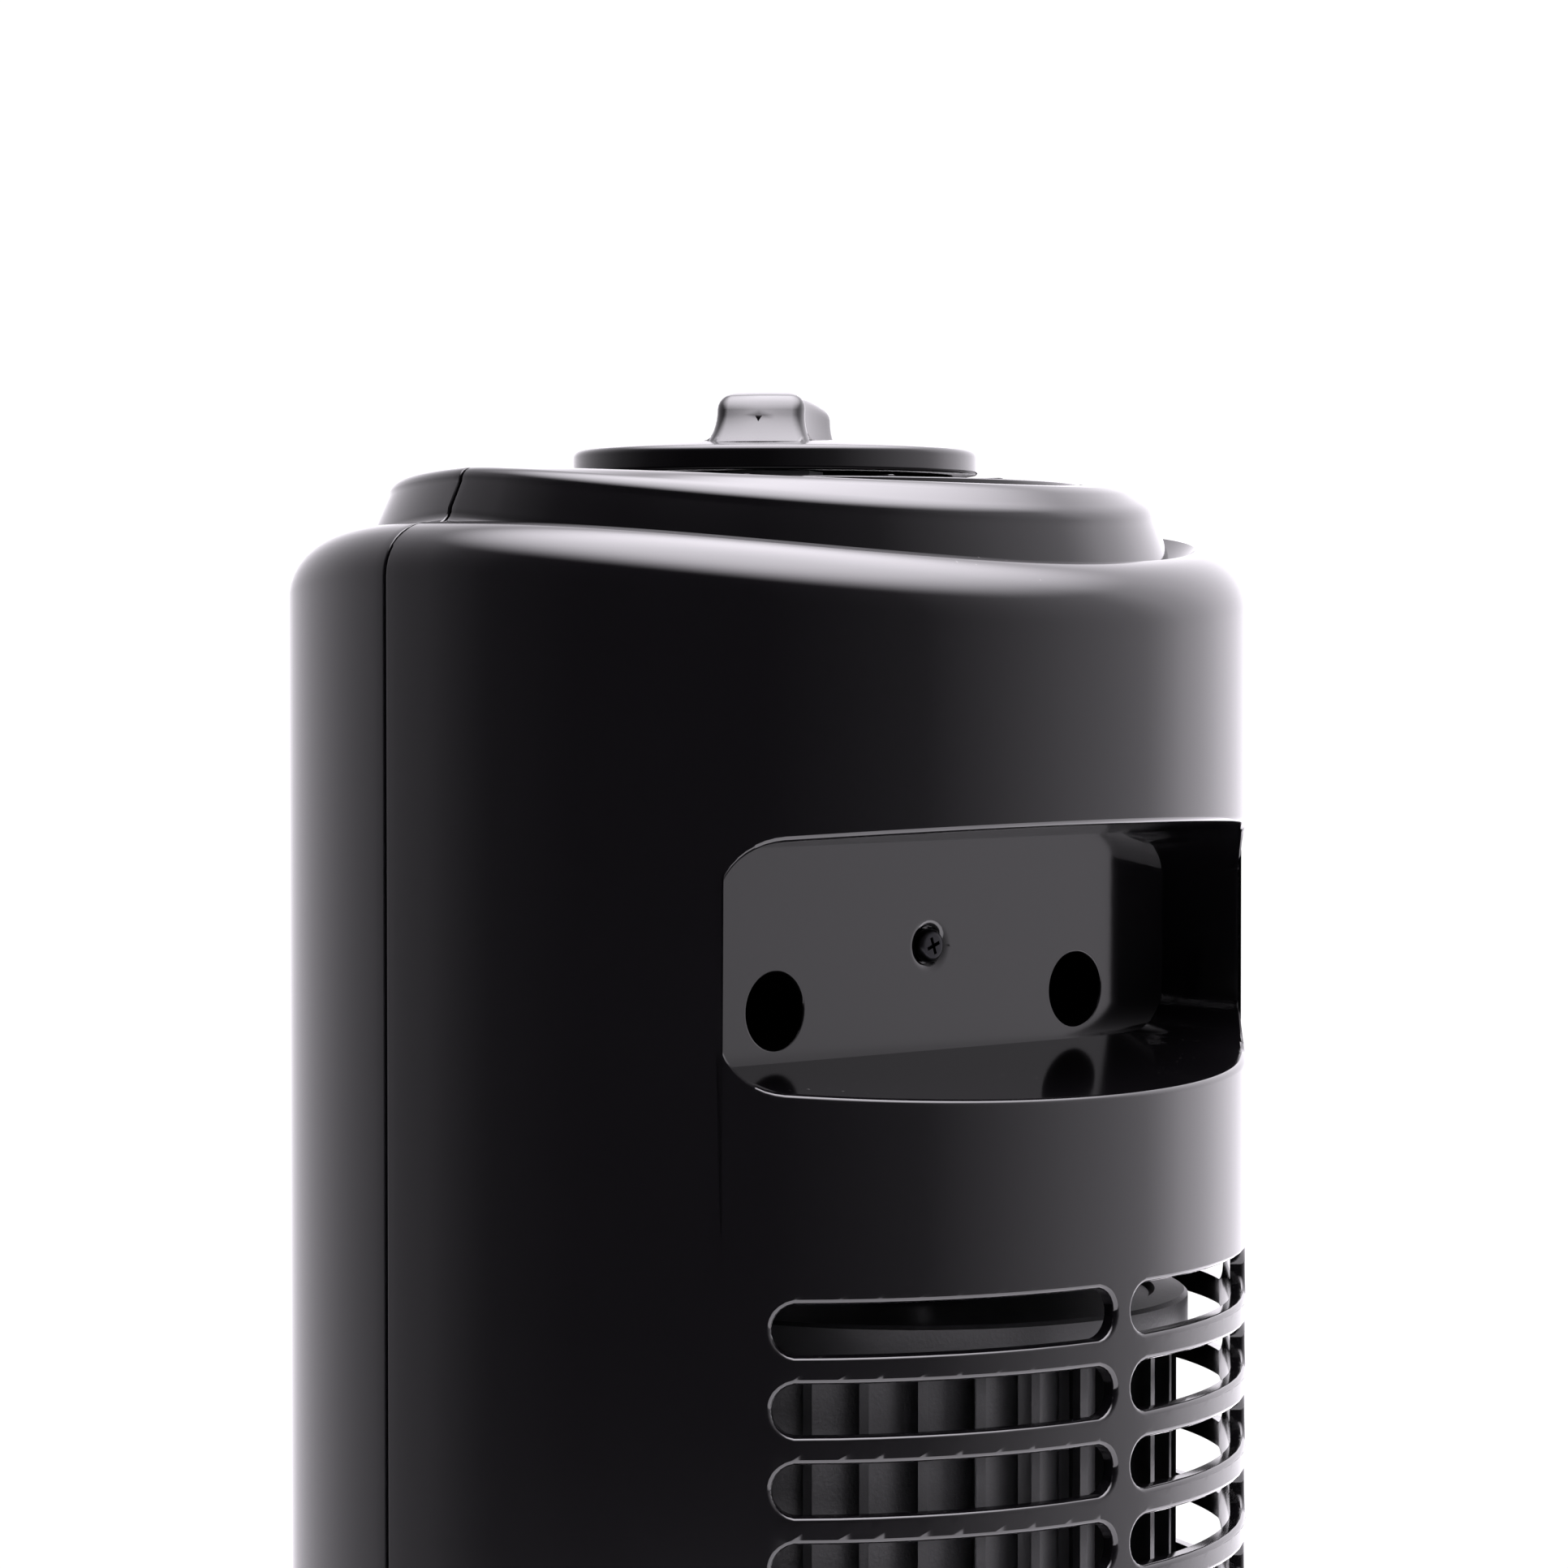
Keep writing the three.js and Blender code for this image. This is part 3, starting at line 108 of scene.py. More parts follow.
def colour(name, value, description):
    return FloatVectorProperty(
        name=name, description=description, default=value, subtype="COLOR", min=0, max=1
    )


class FanBody(bpy.types.PropertyGroup):
    front_depth: length("Front depth", 80.8 * MM, "From the back circle's centre to the front")
    fullness: FloatProperty(
        name="Fullness", description="How square the front is; 2 is an ellipse", default=2.3
    )
    wall: length("Wall", 2.5 * MM, "Thickness of the moulded shells")
    top_wall: length("Top wall", 5.5 * MM, "Thickness under the knob")
    seam_y: length("Seam", -8.3 * MM, "Place of the seam between the two shells")
    seam_width: length("Seam width", 0.5 * MM, "Gap between the two shells")
    shoulder: length("Shoulder", 8.5 * MM, "Radius of the rounded shoulder")
    plateau_height: length("Raised top", 8.7 * MM, "Height of the raised top at the seam")
    plateau_radius: length("Raised top radius", 62 * MM, "Radius at the foot of the raised top")
    plateau_draft: length("Raised top draft", 2 * MM, "How far its side leans in")
    crest_fall: length("Crest fall", 8 * MM, "Drop of the shoulder's crest at the back")
    shelf_fall: length("Shelf fall", 12.5 * MM, "Drop of the shelf by the raised top, at the back")
    top_fall: length("Top fall", 8.5 * MM, "Drop of the raised top's edge at the back")
    dial_fall: length("Dial fall", 4.5 * MM, "Drop of the top beside the dial, at the back")
    front_fall: length("Front fall", 8 * MM, "Drop of the shelf at the front")
    front_top_fall: length("Front top fall", 4 * MM, "Drop of the raised top's edge at the front")


class FanPocket(bpy.types.PropertyGroup):
    half_width: length("Half width", 54.7 * MM, "Half the width of the pocket's back wall")
    half_height: length("Half height", 16.6 * MM, "Half the height of its back wall")
    back_y: length("Back wall", 35.7 * MM, "Place of the pocket's back wall")
    side_draft: FloatProperty(name="Side draft", description="Slope of the sides", default=0.227)
    roof_draft: FloatProperty(name="Roof draft", description="Slope of the roof", default=0.094)
    corner: length("Corner", 8 * MM, "Radius of the pocket's corners")
    bore_radius: length("Bore", 6 * MM, "Radius of the deep screw bores")


class FanIntake(bpy.types.PropertyGroup):
    top: length("Top", 586.2 * MM, "Height of the highest slot's upper edge")
    slot: length("Slot", 7.85 * MM, "Height of a slot")
    pitch: length("Pitch", 11.9 * MM, "Distance between slots")
    rows: IntProperty(name="Rows", description="Number of rows of slots", default=40)
    edge: length("Edge", 0.8 * MM, "Rounding of the slots' edges")


class FanFinish(bpy.types.PropertyGroup):
    gloss: colour("Gloss black", (0.0022, 0.002, 0.0024), "Shells, knob and base")
    satin: colour("Satin black", (0.006, 0.006, 0.0065), "Grille")
    inner: colour("Inner black", (0.008, 0.008, 0.0085), "Inner mouldings")
    blower: colour("Blower black", (0.02, 0.02, 0.021), "Blower wheel")
    rubber: colour("Rubber", (0.012, 0.012, 0.012), "Feet, bush and gland")
    steel: colour("Steel", (0.52, 0.52, 0.53), "Shafts")
    black_steel: colour("Black steel", (0.02, 0.02, 0.022), "Screw in the handle pocket")
    zinc: colour("Zinc", (0.42, 0.43, 0.44), "Screws and brackets")
    nylon: colour("Nylon", (0.62, 0.60, 0.54), "Swing parts")
    laminate: colour("Laminations", (0.09, 0.09, 0.1), "Motor cores")


GROUPS = (FanBody, FanPocket, FanIntake, FanFinish)


def settings():
    return bpy.context.scene.tower_fan


# ------------------------------------------------------------------ modelling helpers


def middle_of(name):
    """The middle of a CAD node's box."""
    low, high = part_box(name)
    return tuple((a + b) / 2 for a, b in zip(low, high))


def deselect():
    bpy.ops.object.select_all(action="DESELECT")


def activate(obj):
    deselect()
    obj.select_set(True)
    bpy.context.view_layer.objects.active = obj


def begin_edit(obj):
    activate(obj)
    bpy.ops.object.mode_set(mode="EDIT")


def end_edit():
    bpy.ops.object.mode_set(mode="OBJECT")


def pick(obj, kind, test):
    """Selects the faces, edges or vertices of an object in edit mode that pass a test."""
    bpy.ops.mesh.select_mode(type={"faces": "FACE", "edges": "EDGE", "verts": "VERT"}[kind])
    bpy.ops.mesh.select_all(action="DESELECT")
    mesh = bmesh.from_edit_mesh(obj.data)
    mesh.normal_update()
    for item in getattr(mesh, kind):
        if test(item):
            item.select_set(True)
    mesh.select_flush_mode()
    bmesh.update_edit_mesh(obj.data)


def settle(obj, name):
    """Puts the place of a piece into its mesh and names it."""
    activate(obj)
    bpy.ops.object.transform_apply(location=True, rotation=True, scale=True)
    obj.name = name
    obj.data.name = name
    return obj


def turned(name, profile, centre=(0, 0), sides=64, hollow=False):
    """A turned piece: a circle drawn out ring by ring through (radius, height) points.

    A hollow piece's profile goes once round its section, and its ends are bridged.
    """
    (radius, height), *rings = profile
    deselect()
    bpy.ops.mesh.primitive_circle_add(
        vertices=sides, radius=radius, fill_type="NOTHING" if hollow else "NGON",
        location=(*centre, height), enter_editmode=True)
    bpy.ops.mesh.select_mode(type="VERT")
    bpy.ops.mesh.select_all(action="SELECT")
    for next_radius, next_height in rings:
        bpy.ops.mesh.extrude_region_move(
            TRANSFORM_OT_translate={"value": (0, 0, next_height - height)})
        if next_radius != radius:
            scale = next_radius / radius
            bpy.ops.transform.resize(
                value=(scale, scale, 1), center_override=(*centre, next_height))
        radius, height = next_radius, next_height
    obj = bpy.context.object
    if hollow:
        pick(obj, "edges", lambda edge: edge.is_boundary)
        bpy.ops.mesh.bridge_edge_loops()
    bpy.ops.mesh.select_all(action="SELECT")
    bpy.ops.mesh.normals_make_consistent(inside=False)
    end_edit()
    return settle(obj, name)


def block(name, low, high):
    """A box between two corners."""
    deselect()
    size = [b - a for a, b in zip(low, high)]
    bpy.ops.mesh.primitive_cube_add(size=1, location=[(a + b) / 2 for a, b in zip(low, high)])
    bpy.context.object.scale = size
    return settle(bpy.context.object, name)


def rod(name, radius, start, end, sides=32):
    """A round bar between two points."""
    deselect()
    start, end = Vector(start), Vector(end)
    axis = end - start
    bpy.ops.mesh.primitive_cylinder_add(
        vertices=sides, radius=radius, depth=axis.length, location=(start + end) / 2,
        rotation=axis.to_track_quat("Z", "Y").to_euler())
    return settle(bpy.context.object, name)


def join(first, *others):
    activate(first)
    for other in others:
        other.select_set(True)
    bpy.ops.object.join()
    return first


def boolean(obj, other, operation="DIFFERENCE"):
    """Cuts or joins a piece with another, which is used up."""
    activate(obj)
    bpy.ops.object.modifier_add(type="BOOLEAN")
    modifier = obj.modifiers[-1]
    modifier.object = other
    modifier.operation = operation
    modifier.solver = "EXACT"
    bpy.ops.object.modifier_apply(modifier=modifier.name)
    bpy.data.objects.remove(other)
    return obj


def round_edges(obj, width, segments=2, angle=50):
    """Rounds every edge sharper than an angle, in degrees."""
    activate(obj)
    bpy.ops.object.modifier_add(type="BEVEL")
    modifier = obj.modifiers[-1]
    modifier.width = width
    modifier.segments = segments
    modifier.limit_method = "ANGLE"
    modifier.angle_limit = math.radians(angle)
    modifier.use_clamp_overlap = False
    modifier.loop_slide = False
    bpy.ops.object.modifier_apply(modifier=modifier.name)
    return obj


def round_rims(obj, width, test):
    """Rounds the outward edges whose two ends both pass a test."""
    begin_edit(obj)
    pick(obj, "edges", lambda e: len(e.link_faces) == 2
         and e.calc_face_angle_signed(0) > OUTWARD_CORNER and all(test(v.co) for v in e.verts))
    bpy.ops.mesh.bevel(offset=width, segments=3, affect="EDGES", clamp_overlap=False)
    end_edit()
    return obj


def smooth(obj, angle=35):
    """Shades a piece smooth up to an angle, in degrees, and evens its normals."""
    activate(obj)
    bpy.ops.object.shade_smooth_by_angle(angle=math.radians(angle))
    bpy.ops.object.modifier_add(type="WEIGHTED_NORMAL")
    modifier = obj.modifiers[-1]
    modifier.keep_sharp = True
    modifier.weight = 80
    bpy.ops.object.modifier_apply(modifier=modifier.name)
    return obj


def weld(obj, distance=0.02 * MM):
    begin_edit(obj)
    bpy.ops.mesh.select_all(action="SELECT")
    bpy.ops.mesh.remove_doubles(threshold=distance)
    end_edit()
    return obj


def finish_piece(obj, body, slot, material, *nodes):
    """Gives a piece its material and its body, and hides the CAD nodes that it stands for."""
    obj.data.materials.clear()
    obj.data.materials.append(material)
    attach(obj, body)
    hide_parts(*nodes)
    return obj


# ------------------------------------------------------------------ materials


def node(tree, kind, **inputs):
    """A node with some of its inputs set."""
    made = tree.nodes.new(kind)
    for key, value in inputs.items():
        made.inputs[key.replace("_", " ")].default_value = value
    return made


def new_group(name, inputs, outputs):
    """An empty shader node group with named sockets, and its input and output nodes."""
    tree = bpy.data.node_groups.new(name, "ShaderNodeTree")
    for socket, kind, value in inputs:
        made = tree.interface.new_socket(name=socket, in_out="INPUT", socket_type=kind)
        if value is not None:
            made.default_value = value
    for socket, kind in outputs:
        tree.interface.new_socket(name=socket, in_out="OUTPUT", socket_type=kind)
    return tree, tree.nodes.new("NodeGroupInput"), tree.nodes.new("NodeGroupOutput")


def moulded_surface_group():
    """Fine waviness and uneven gloss of a moulded face."""
    found = bpy.data.node_groups.get("Moulded surface")
    if found:
        return found
    tree, given, out = new_group(
        "Moulded surface",
        [("Scale", "NodeSocketFloat", 900.0), ("Roughness", "NodeSocketFloat", 0.1),
         ("Variation", "NodeSocketFloat", 0.03)],
        [("Roughness", "NodeSocketFloat"), ("Height", "NodeSocketFloat")])
    place = tree.nodes.new("ShaderNodeTexCoord")
    fine = node(tree, "ShaderNodeTexNoise", Detail=3.0, Roughness=0.55)
    broad = node(tree, "ShaderNodeTexNoise", Scale=14.0, Detail=4.0)
    centred = node(tree, "ShaderNodeMath")
    centred.operation = "SUBTRACT"
    centred.inputs[1].default_value = 0.5
    scaled = tree.nodes.new("ShaderNodeMath")
    scaled.operation = "MULTIPLY"
    total = tree.nodes.new("ShaderNodeMath")
    total.operation = "ADD"
    link = tree.links.new
    link(place.outputs["Object"], fine.inputs["Vector"])
    link(place.outputs["Object"], broad.inputs["Vector"])
    link(given.outputs["Scale"], fine.inputs["Scale"])
    link(broad.outputs["Fac"], centred.inputs[0])
    link(centred.outputs[0], scaled.inputs[0])
    link(given.outputs["Variation"], scaled.inputs[1])
    link(scaled.outputs[0], total.inputs[0])
    link(given.outputs["Roughness"], total.inputs[1])
    link(total.outputs[0], out.inputs["Roughness"])
    link(fine.outputs["Fac"], out.inputs["Height"])
    return tree


def dust_group():
    """Sparse pale specks that settle on faces that look up."""
    found = bpy.data.node_groups.get("Settled dust")
    if found:
        return found
    tree, given, out = new_group(
        "Settled dust",
        [("Colour", "NodeSocketColor", (0, 0, 0, 1)), ("Amount", "NodeSocketFloat", 0.3)],
        [("Colour", "NodeSocketColor")])
    place = tree.nodes.new("ShaderNodeTexCoord")
    shape = tree.nodes.new("ShaderNodeNewGeometry")
    specks = node(tree, "ShaderNodeTexVoronoi", Scale=420.0)
    size = tree.nodes.new("ShaderNodeMapRange")
    size.inputs["From Min"].default_value = 0.10
    size.inputs["From Max"].default_value = 0.05
    split = tree.nodes.new("ShaderNodeSeparateXYZ")
    upward = tree.nodes.new("ShaderNodeMapRange")
    upward.inputs["From Min"].default_value = 0.5
    upward.inputs["From Max"].default_value = 0.95
    patches = node(tree, "ShaderNodeTexNoise", Scale=60.0, Detail=2.0)
    sparse = tree.nodes.new("ShaderNodeMapRange")
    sparse.inputs["From Min"].default_value = 0.55
    sparse.inputs["From Max"].default_value = 0.75
    mix = tree.nodes.new("ShaderNodeMix")
    mix.data_type = "RGBA"
    mix.inputs["B"].default_value = (0.35, 0.34, 0.33, 1)
    link = tree.links.new
    link(place.outputs["Object"], specks.inputs["Vector"])
    link(place.outputs["Object"], patches.inputs["Vector"])
    link(specks.outputs["Distance"], size.inputs["Value"])
    link(shape.outputs["Normal"], split.inputs[0])
    link(split.outputs["Z"], upward.inputs["Value"])
    link(patches.outputs["Fac"], sparse.inputs["Value"])
    value = size.outputs[0]
    for factor in (upward.outputs[0], sparse.outputs[0], given.outputs["Amount"]):
        step = tree.nodes.new("ShaderNodeMath")
        step.operation = "MULTIPLY"
        link(value, step.inputs[0])
        link(factor, step.inputs[1])
        value = step.outputs[0]
    link(value, mix.inputs["Factor"])
    link(given.outputs["Colour"], mix.inputs["A"])
    link(mix.outputs["Result"], out.inputs["Colour"])
    return tree


def plastic(name, base, roughness, variation=0.03, grain=900.0, bump=0.02, dust=0.0):
    """A moulded plastic with uneven gloss and a fine surface grain."""
    found = bpy.data.materials.get(name)
    if found:
        return found
    material = bpy.data.materials.new(name)
    material.use_nodes = True
    tree = material.node_tree
    shader = tree.nodes["Principled BSDF"]
    shader.inputs["Base Color"].default_value = (*base, 1)
    shader.inputs["IOR"].default_value = 1.5
    surface = tree.nodes.new("ShaderNodeGroup")
    surface.node_tree = moulded_surface_group()
    surface.inputs["Scale"].default_value = grain
    surface.inputs["Roughness"].default_value = roughness
    surface.inputs["Variation"].default_value = variation
    relief = node(tree, "ShaderNodeBump", Strength=bump, Distance=0.0002)
    tree.links.new(surface.outputs["Roughness"], shader.inputs["Roughness"])
    tree.links.new(surface.outputs["Height"], relief.inputs["Height"])
    tree.links.new(relief.outputs["Normal"], shader.inputs["Normal"])
    if dust:
        specks = tree.nodes.new("ShaderNodeGroup")
        specks.node_tree = dust_group()
        specks.inputs["Colour"].default_value = (*base, 1)
        specks.inputs["Amount"].default_value = dust
        tree.links.new(specks.outputs["Colour"], shader.inputs["Base Color"])
    return material


def metal(name, base, roughness, grain=600.0):
    """A worked metal with fine scratches in its gloss."""
    found = bpy.data.materials.get(name)
    if found:
        return found
    material = plastic(name, base, roughness, variation=0.15, grain=grain, bump=0.05)
    material.node_tree.nodes["Principled BSDF"].inputs["Metallic"].default_value = 1
    return material


def finishes():
    """Every material of the fan, by the record's slot."""
    tint = settings().finish
    return {
        "shell_gloss": plastic("Gloss black plastic", tint.gloss, 0.1, 0.05, 500.0, 0.012, 0.5),
        "knob_gloss": plastic("Knob black plastic", tint.gloss, 0.16, 0.05, 700.0, 0.02, 0.4),
        "grille_black": plastic("Satin black plastic", tint.satin, 0.34, 0.08, 1200.0, 0.1),
        "inner_black": plastic("Inner black plastic", tint.inner, 0.45, 0.12, 1400.0, 0.15),
        "blower_black": plastic("Blower plastic", tint.blower, 0.42, 0.2, 1500.0, 0.25),
        "rubber_black": plastic("Black rubber", tint.rubber, 0.75, 0.1, 2200.0, 0.4),
        "shaft_steel": metal("Ground steel", tint.steel, 0.28),
        "black_steel": metal("Black oxide steel", tint.black_steel, 0.3, 900.0),
        "zinc_steel": metal("Zinc plated steel", tint.zinc, 0.4, 900.0),
        "nylon_white": plastic("Natural nylon", tint.nylon, 0.4, 0.1, 800.0, 0.05),
        "motor_laminate": metal("Varnished laminations", tint.laminate, 0.5, 2500.0),
    }


# ------------------------------------------------------------------ the body's shape


def fall(y, back, front, power):
    """How far the top has fallen at a place, away from the seam."""
    body = settings().body
    behind = y > body.seam_y
    edge = BODY_CENTRE_Y + BODY_RADIUS if behind else BODY_CENTRE_Y - body.front_depth
    share = max((y - body.seam_y) / (edge - body.seam_y), 0)
    return (back if behind else front) * share**power


def between(low, high, share):
    """Eases from one value to another as a share goes from 0 to 1."""
    share = min(max(share, 0), 1)
    return low + (high - low) * share * share * (3 - 2 * share)


def top_fall(radius, y, raised):
    """How far a point of the top falls, by its radius and how far up the raised part it is."""
    body = settings().body
    foot = body.plateau_radius + MM
    crest = fall(y, body.crest_fall, body.front_fall, 2.2)
    shelf = fall(y, body.shelf_fall, body.front_fall, 1.25)
    low = between(shelf, crest, (radius - foot) / (BODY_RADIUS - body.shoulder - foot))
    rim = fall(y, body.top_fall, body.front_top_fall, 1.4)
    dial = fall(y, body.dial_fall, body.front_top_fall / 4, 1.4)
    inner = body.plateau_radius - 7.5 * MM
    edge = body.plateau_radius - body.plateau_draft - MM
    high = between(dial, rim, (radius - inner) / (edge - inner))
    return low + (high - low) * min(max(raised, 0), 1)


def follow_vertex(vertex):
    """Moves a point of a circle about the body's centre onto the body's outline."""
    body = settings().body
    across, along = vertex.co.x, vertex.co.y - BODY_CENTRE_Y
    if along >= 0:
        return
    radius = math.hypot(across, along)
    c, s = across / radius, -along / radius
    power = 2 / body.fullness
    vertex.co.x = math.copysign(radius * abs(c) ** power, c)
    vertex.co.y = BODY_CENTRE_Y - radius * (body.front_depth / BODY_RADIUS) * s**power


def follow_body(obj, tops=True):
    """Moves turned rings onto the body's outline, and lets the top fall from the seam."""
    body = settings().body
    top = SHELL_HIGH.z
    shelf = top - body.plateau_height
    shoulder = shelf - body.shoulder
    for vertex in obj.data.vertices:
        radius = math.hypot(vertex.co.x, vertex.co.y - BODY_CENTRE_Y)
        follow_vertex(vertex)
        height = vertex.co.z
        if tops and height > shoulder - 1e-6:
            raised = (height - shelf) / body.plateau_height
            vertex.co.z -= top_fall(radius, vertex.co.y, raised)
    return obj


def arc(centre, radius, start, end, steps):
    """Points of an arc in a profile, in degrees from outwards towards upwards."""
    angles = [math.radians(start + (end - start) * i / steps) for i in range(steps + 1)]
    return [(centre[0] + radius * math.cos(a), centre[1] + radius * math.sin(a)) for a in angles]


def body_solid(name, bottom, wall, top_wall):
    """The filled body from a height to its top, moved in by its walls."""
    body = settings().body
    edge = BODY_RADIUS - wall
    top = SHELL_HIGH.z - top_wall
    shelf = SHELL_HIGH.z - body.plateau_height
    shoulder = max(body.shoulder - wall, 1 * MM)
    foot = 2.4 * MM
    rim = 2.2 * MM
    foot_radius = body.plateau_radius - wall
    top_radius = foot_radius - body.plateau_draft
    profile = [(edge, bottom)]
    profile += arc((BODY_RADIUS - body.shoulder, shelf - body.shoulder), shoulder, 0, 90, 10)
    profile += arc((foot_radius + foot, shelf - wall + foot), foot, 270, 180, 5)
    profile += arc((top_radius - rim, top - rim), rim, 0, 90, 5)
    seat = DIAL_HIGH.x + MM
    spread = top_radius - rim - seat
    for share in (0.8, 0.6, 0.4, 0.2, 0):
        profile.append((seat + spread * share, top))
    for share in (0.8, 0.55, 0.25, 0.02):
        profile.append((seat * share, top))
    solid = turned(name, profile, (0, BODY_CENTRE_Y), BODY_SIDES)
    return follow_body(solid)


def far_block(name, low_y, high_y, low_z=0.0, high_z=0.8):
    return block(name, (-0.2, low_y, low_z), (0.2, high_y, high_z))


# ------------------------------------------------------------------ rear shell


def wrap(obj, angle):
    """Bends a flat cutter, drawn across X at Y = 0, round the body at an angle."""
    for vertex in obj.data.vertices:
        x, y, z = vertex.co
        at = angle - x / BODY_RADIUS
        radius = BODY_RADIUS + y
        vertex.co = (radius * math.cos(at), BODY_CENTRE_Y + radius * math.sin(at), z)
    return obj


def slot_cutter(start, end, z):
    """A bar with round ends and a flared mouth, for one slot between two directions."""
    intake = settings().intake
    half = intake.slot / 2
    middle, spread = math.radians((start + end) / 2), math.radians(end - start)
    reach = spread * BODY_RADIUS / 2 - half
    lip, wall = intake.edge, settings().body.wall
    flare = (0, 0.4, 0.8, 1.2)
    mouth = [(half + lip * (1 - math.cos(a)), -lip + lip * math.sin(a)) for a in flare]
    profile = [(half, -wall - 4 * MM)] + mouth + [(half + lip, 0), (half + lip, 5 * MM)]
    sides, steps = 24, 8
    cutter = turned("slot_cutter", profile, sides=sides)
    cutter.rotation_euler = (math.radians(-90), math.radians(180 / sides), 0)
    cutter.location.z = z
    settle(cutter, "slot_cutter")
    begin_edit(cutter)
    for side in (1, -1):
        pick(cutter, "verts", lambda v: v.co.x * side > 0)
        bpy.ops.transform.translate(value=(side * reach, 0, 0))
    for i in range(1, steps):
        bpy.ops.mesh.select_all(action="SELECT")
        x = -reach + 2 * reach * i / steps
        bpy.ops.mesh.bisect(plane_co=(x, 0, 0), plane_no=(1, 0, 0))
    end_edit()
    return wrap(cutter, middle)


def slot_row():
    """One row of the intake: a band of the wall with its three slots."""
    body, intake = settings().body, settings().intake
    low = intake.top - intake.slot / 2 - intake.pitch / 2
    high = low + intake.pitch
    outer, inner = BODY_RADIUS, BODY_RADIUS - body.wall
    band = turned(
        "slot_row", [(inner, low), (outer, low), (outer, high), (inner, high)],
        (0, BODY_CENTRE_Y), BODY_SIDES, hollow=True)
    for start, end in INTAKE_COLUMNS:
        boolean(band, slot_cutter(start, end, intake.top - intake.slot / 2))
    begin_edit(band)
    tiny = 0.01 * MM
    pick(band, "faces", lambda f: abs(f.normal.z) > 0.9 and (
        abs(f.calc_center_median().z - low) < tiny or abs(f.calc_center_median().z - high) < tiny))
    bpy.ops.mesh.delete(type="FACE")
    end_edit()
    weld(band, 0.05 * MM)
    activate(band)
    bpy.ops.object.modifier_add(type="ARRAY")
    rows = band.modifiers[-1]
    rows.count = intake.rows
    rows.use_relative_offset = False
    rows.use_constant_offset = True
    rows.constant_offset_displace = (0, 0, -intake.pitch)
    rows.use_merge_vertices = True
    rows.merge_threshold = 0.01 * MM
    bpy.ops.object.modifier_apply(modifier=rows.name)
    return follow_body(band, tops=False)


def drafted_block(name, start_y, half_width, half_height, corner):
    """The pocket's shape: it opens out towards the back, and its long edges are round."""
    pocket = settings().pocket
    end_y = SHELL_HIGH.y + 4 * MM
    middle = (SCREW_LOW.z + SCREW_HIGH.z) / 2
    made = block(
        name, (-half_width, start_y, middle - half_height),
        (half_width, end_y, middle + half_height))
    begin_edit(made)
    pick(made, "verts", lambda v: v.co.y > (start_y + end_y) / 2)
    wider = 1 + (end_y - start_y) * pocket.side_draft / half_width
    taller = 1 + (end_y - start_y) * pocket.roof_draft / half_height
    bpy.ops.transform.resize(value=(wider, 1, taller), center_override=(0, end_y, middle))
    pick(made, "edges", lambda e: abs(e.verts[0].co.y - e.verts[1].co.y) > 10 * MM)
    bpy.ops.mesh.bevel(offset=corner, segments=10, affect="EDGES")
    end_edit()
    return made


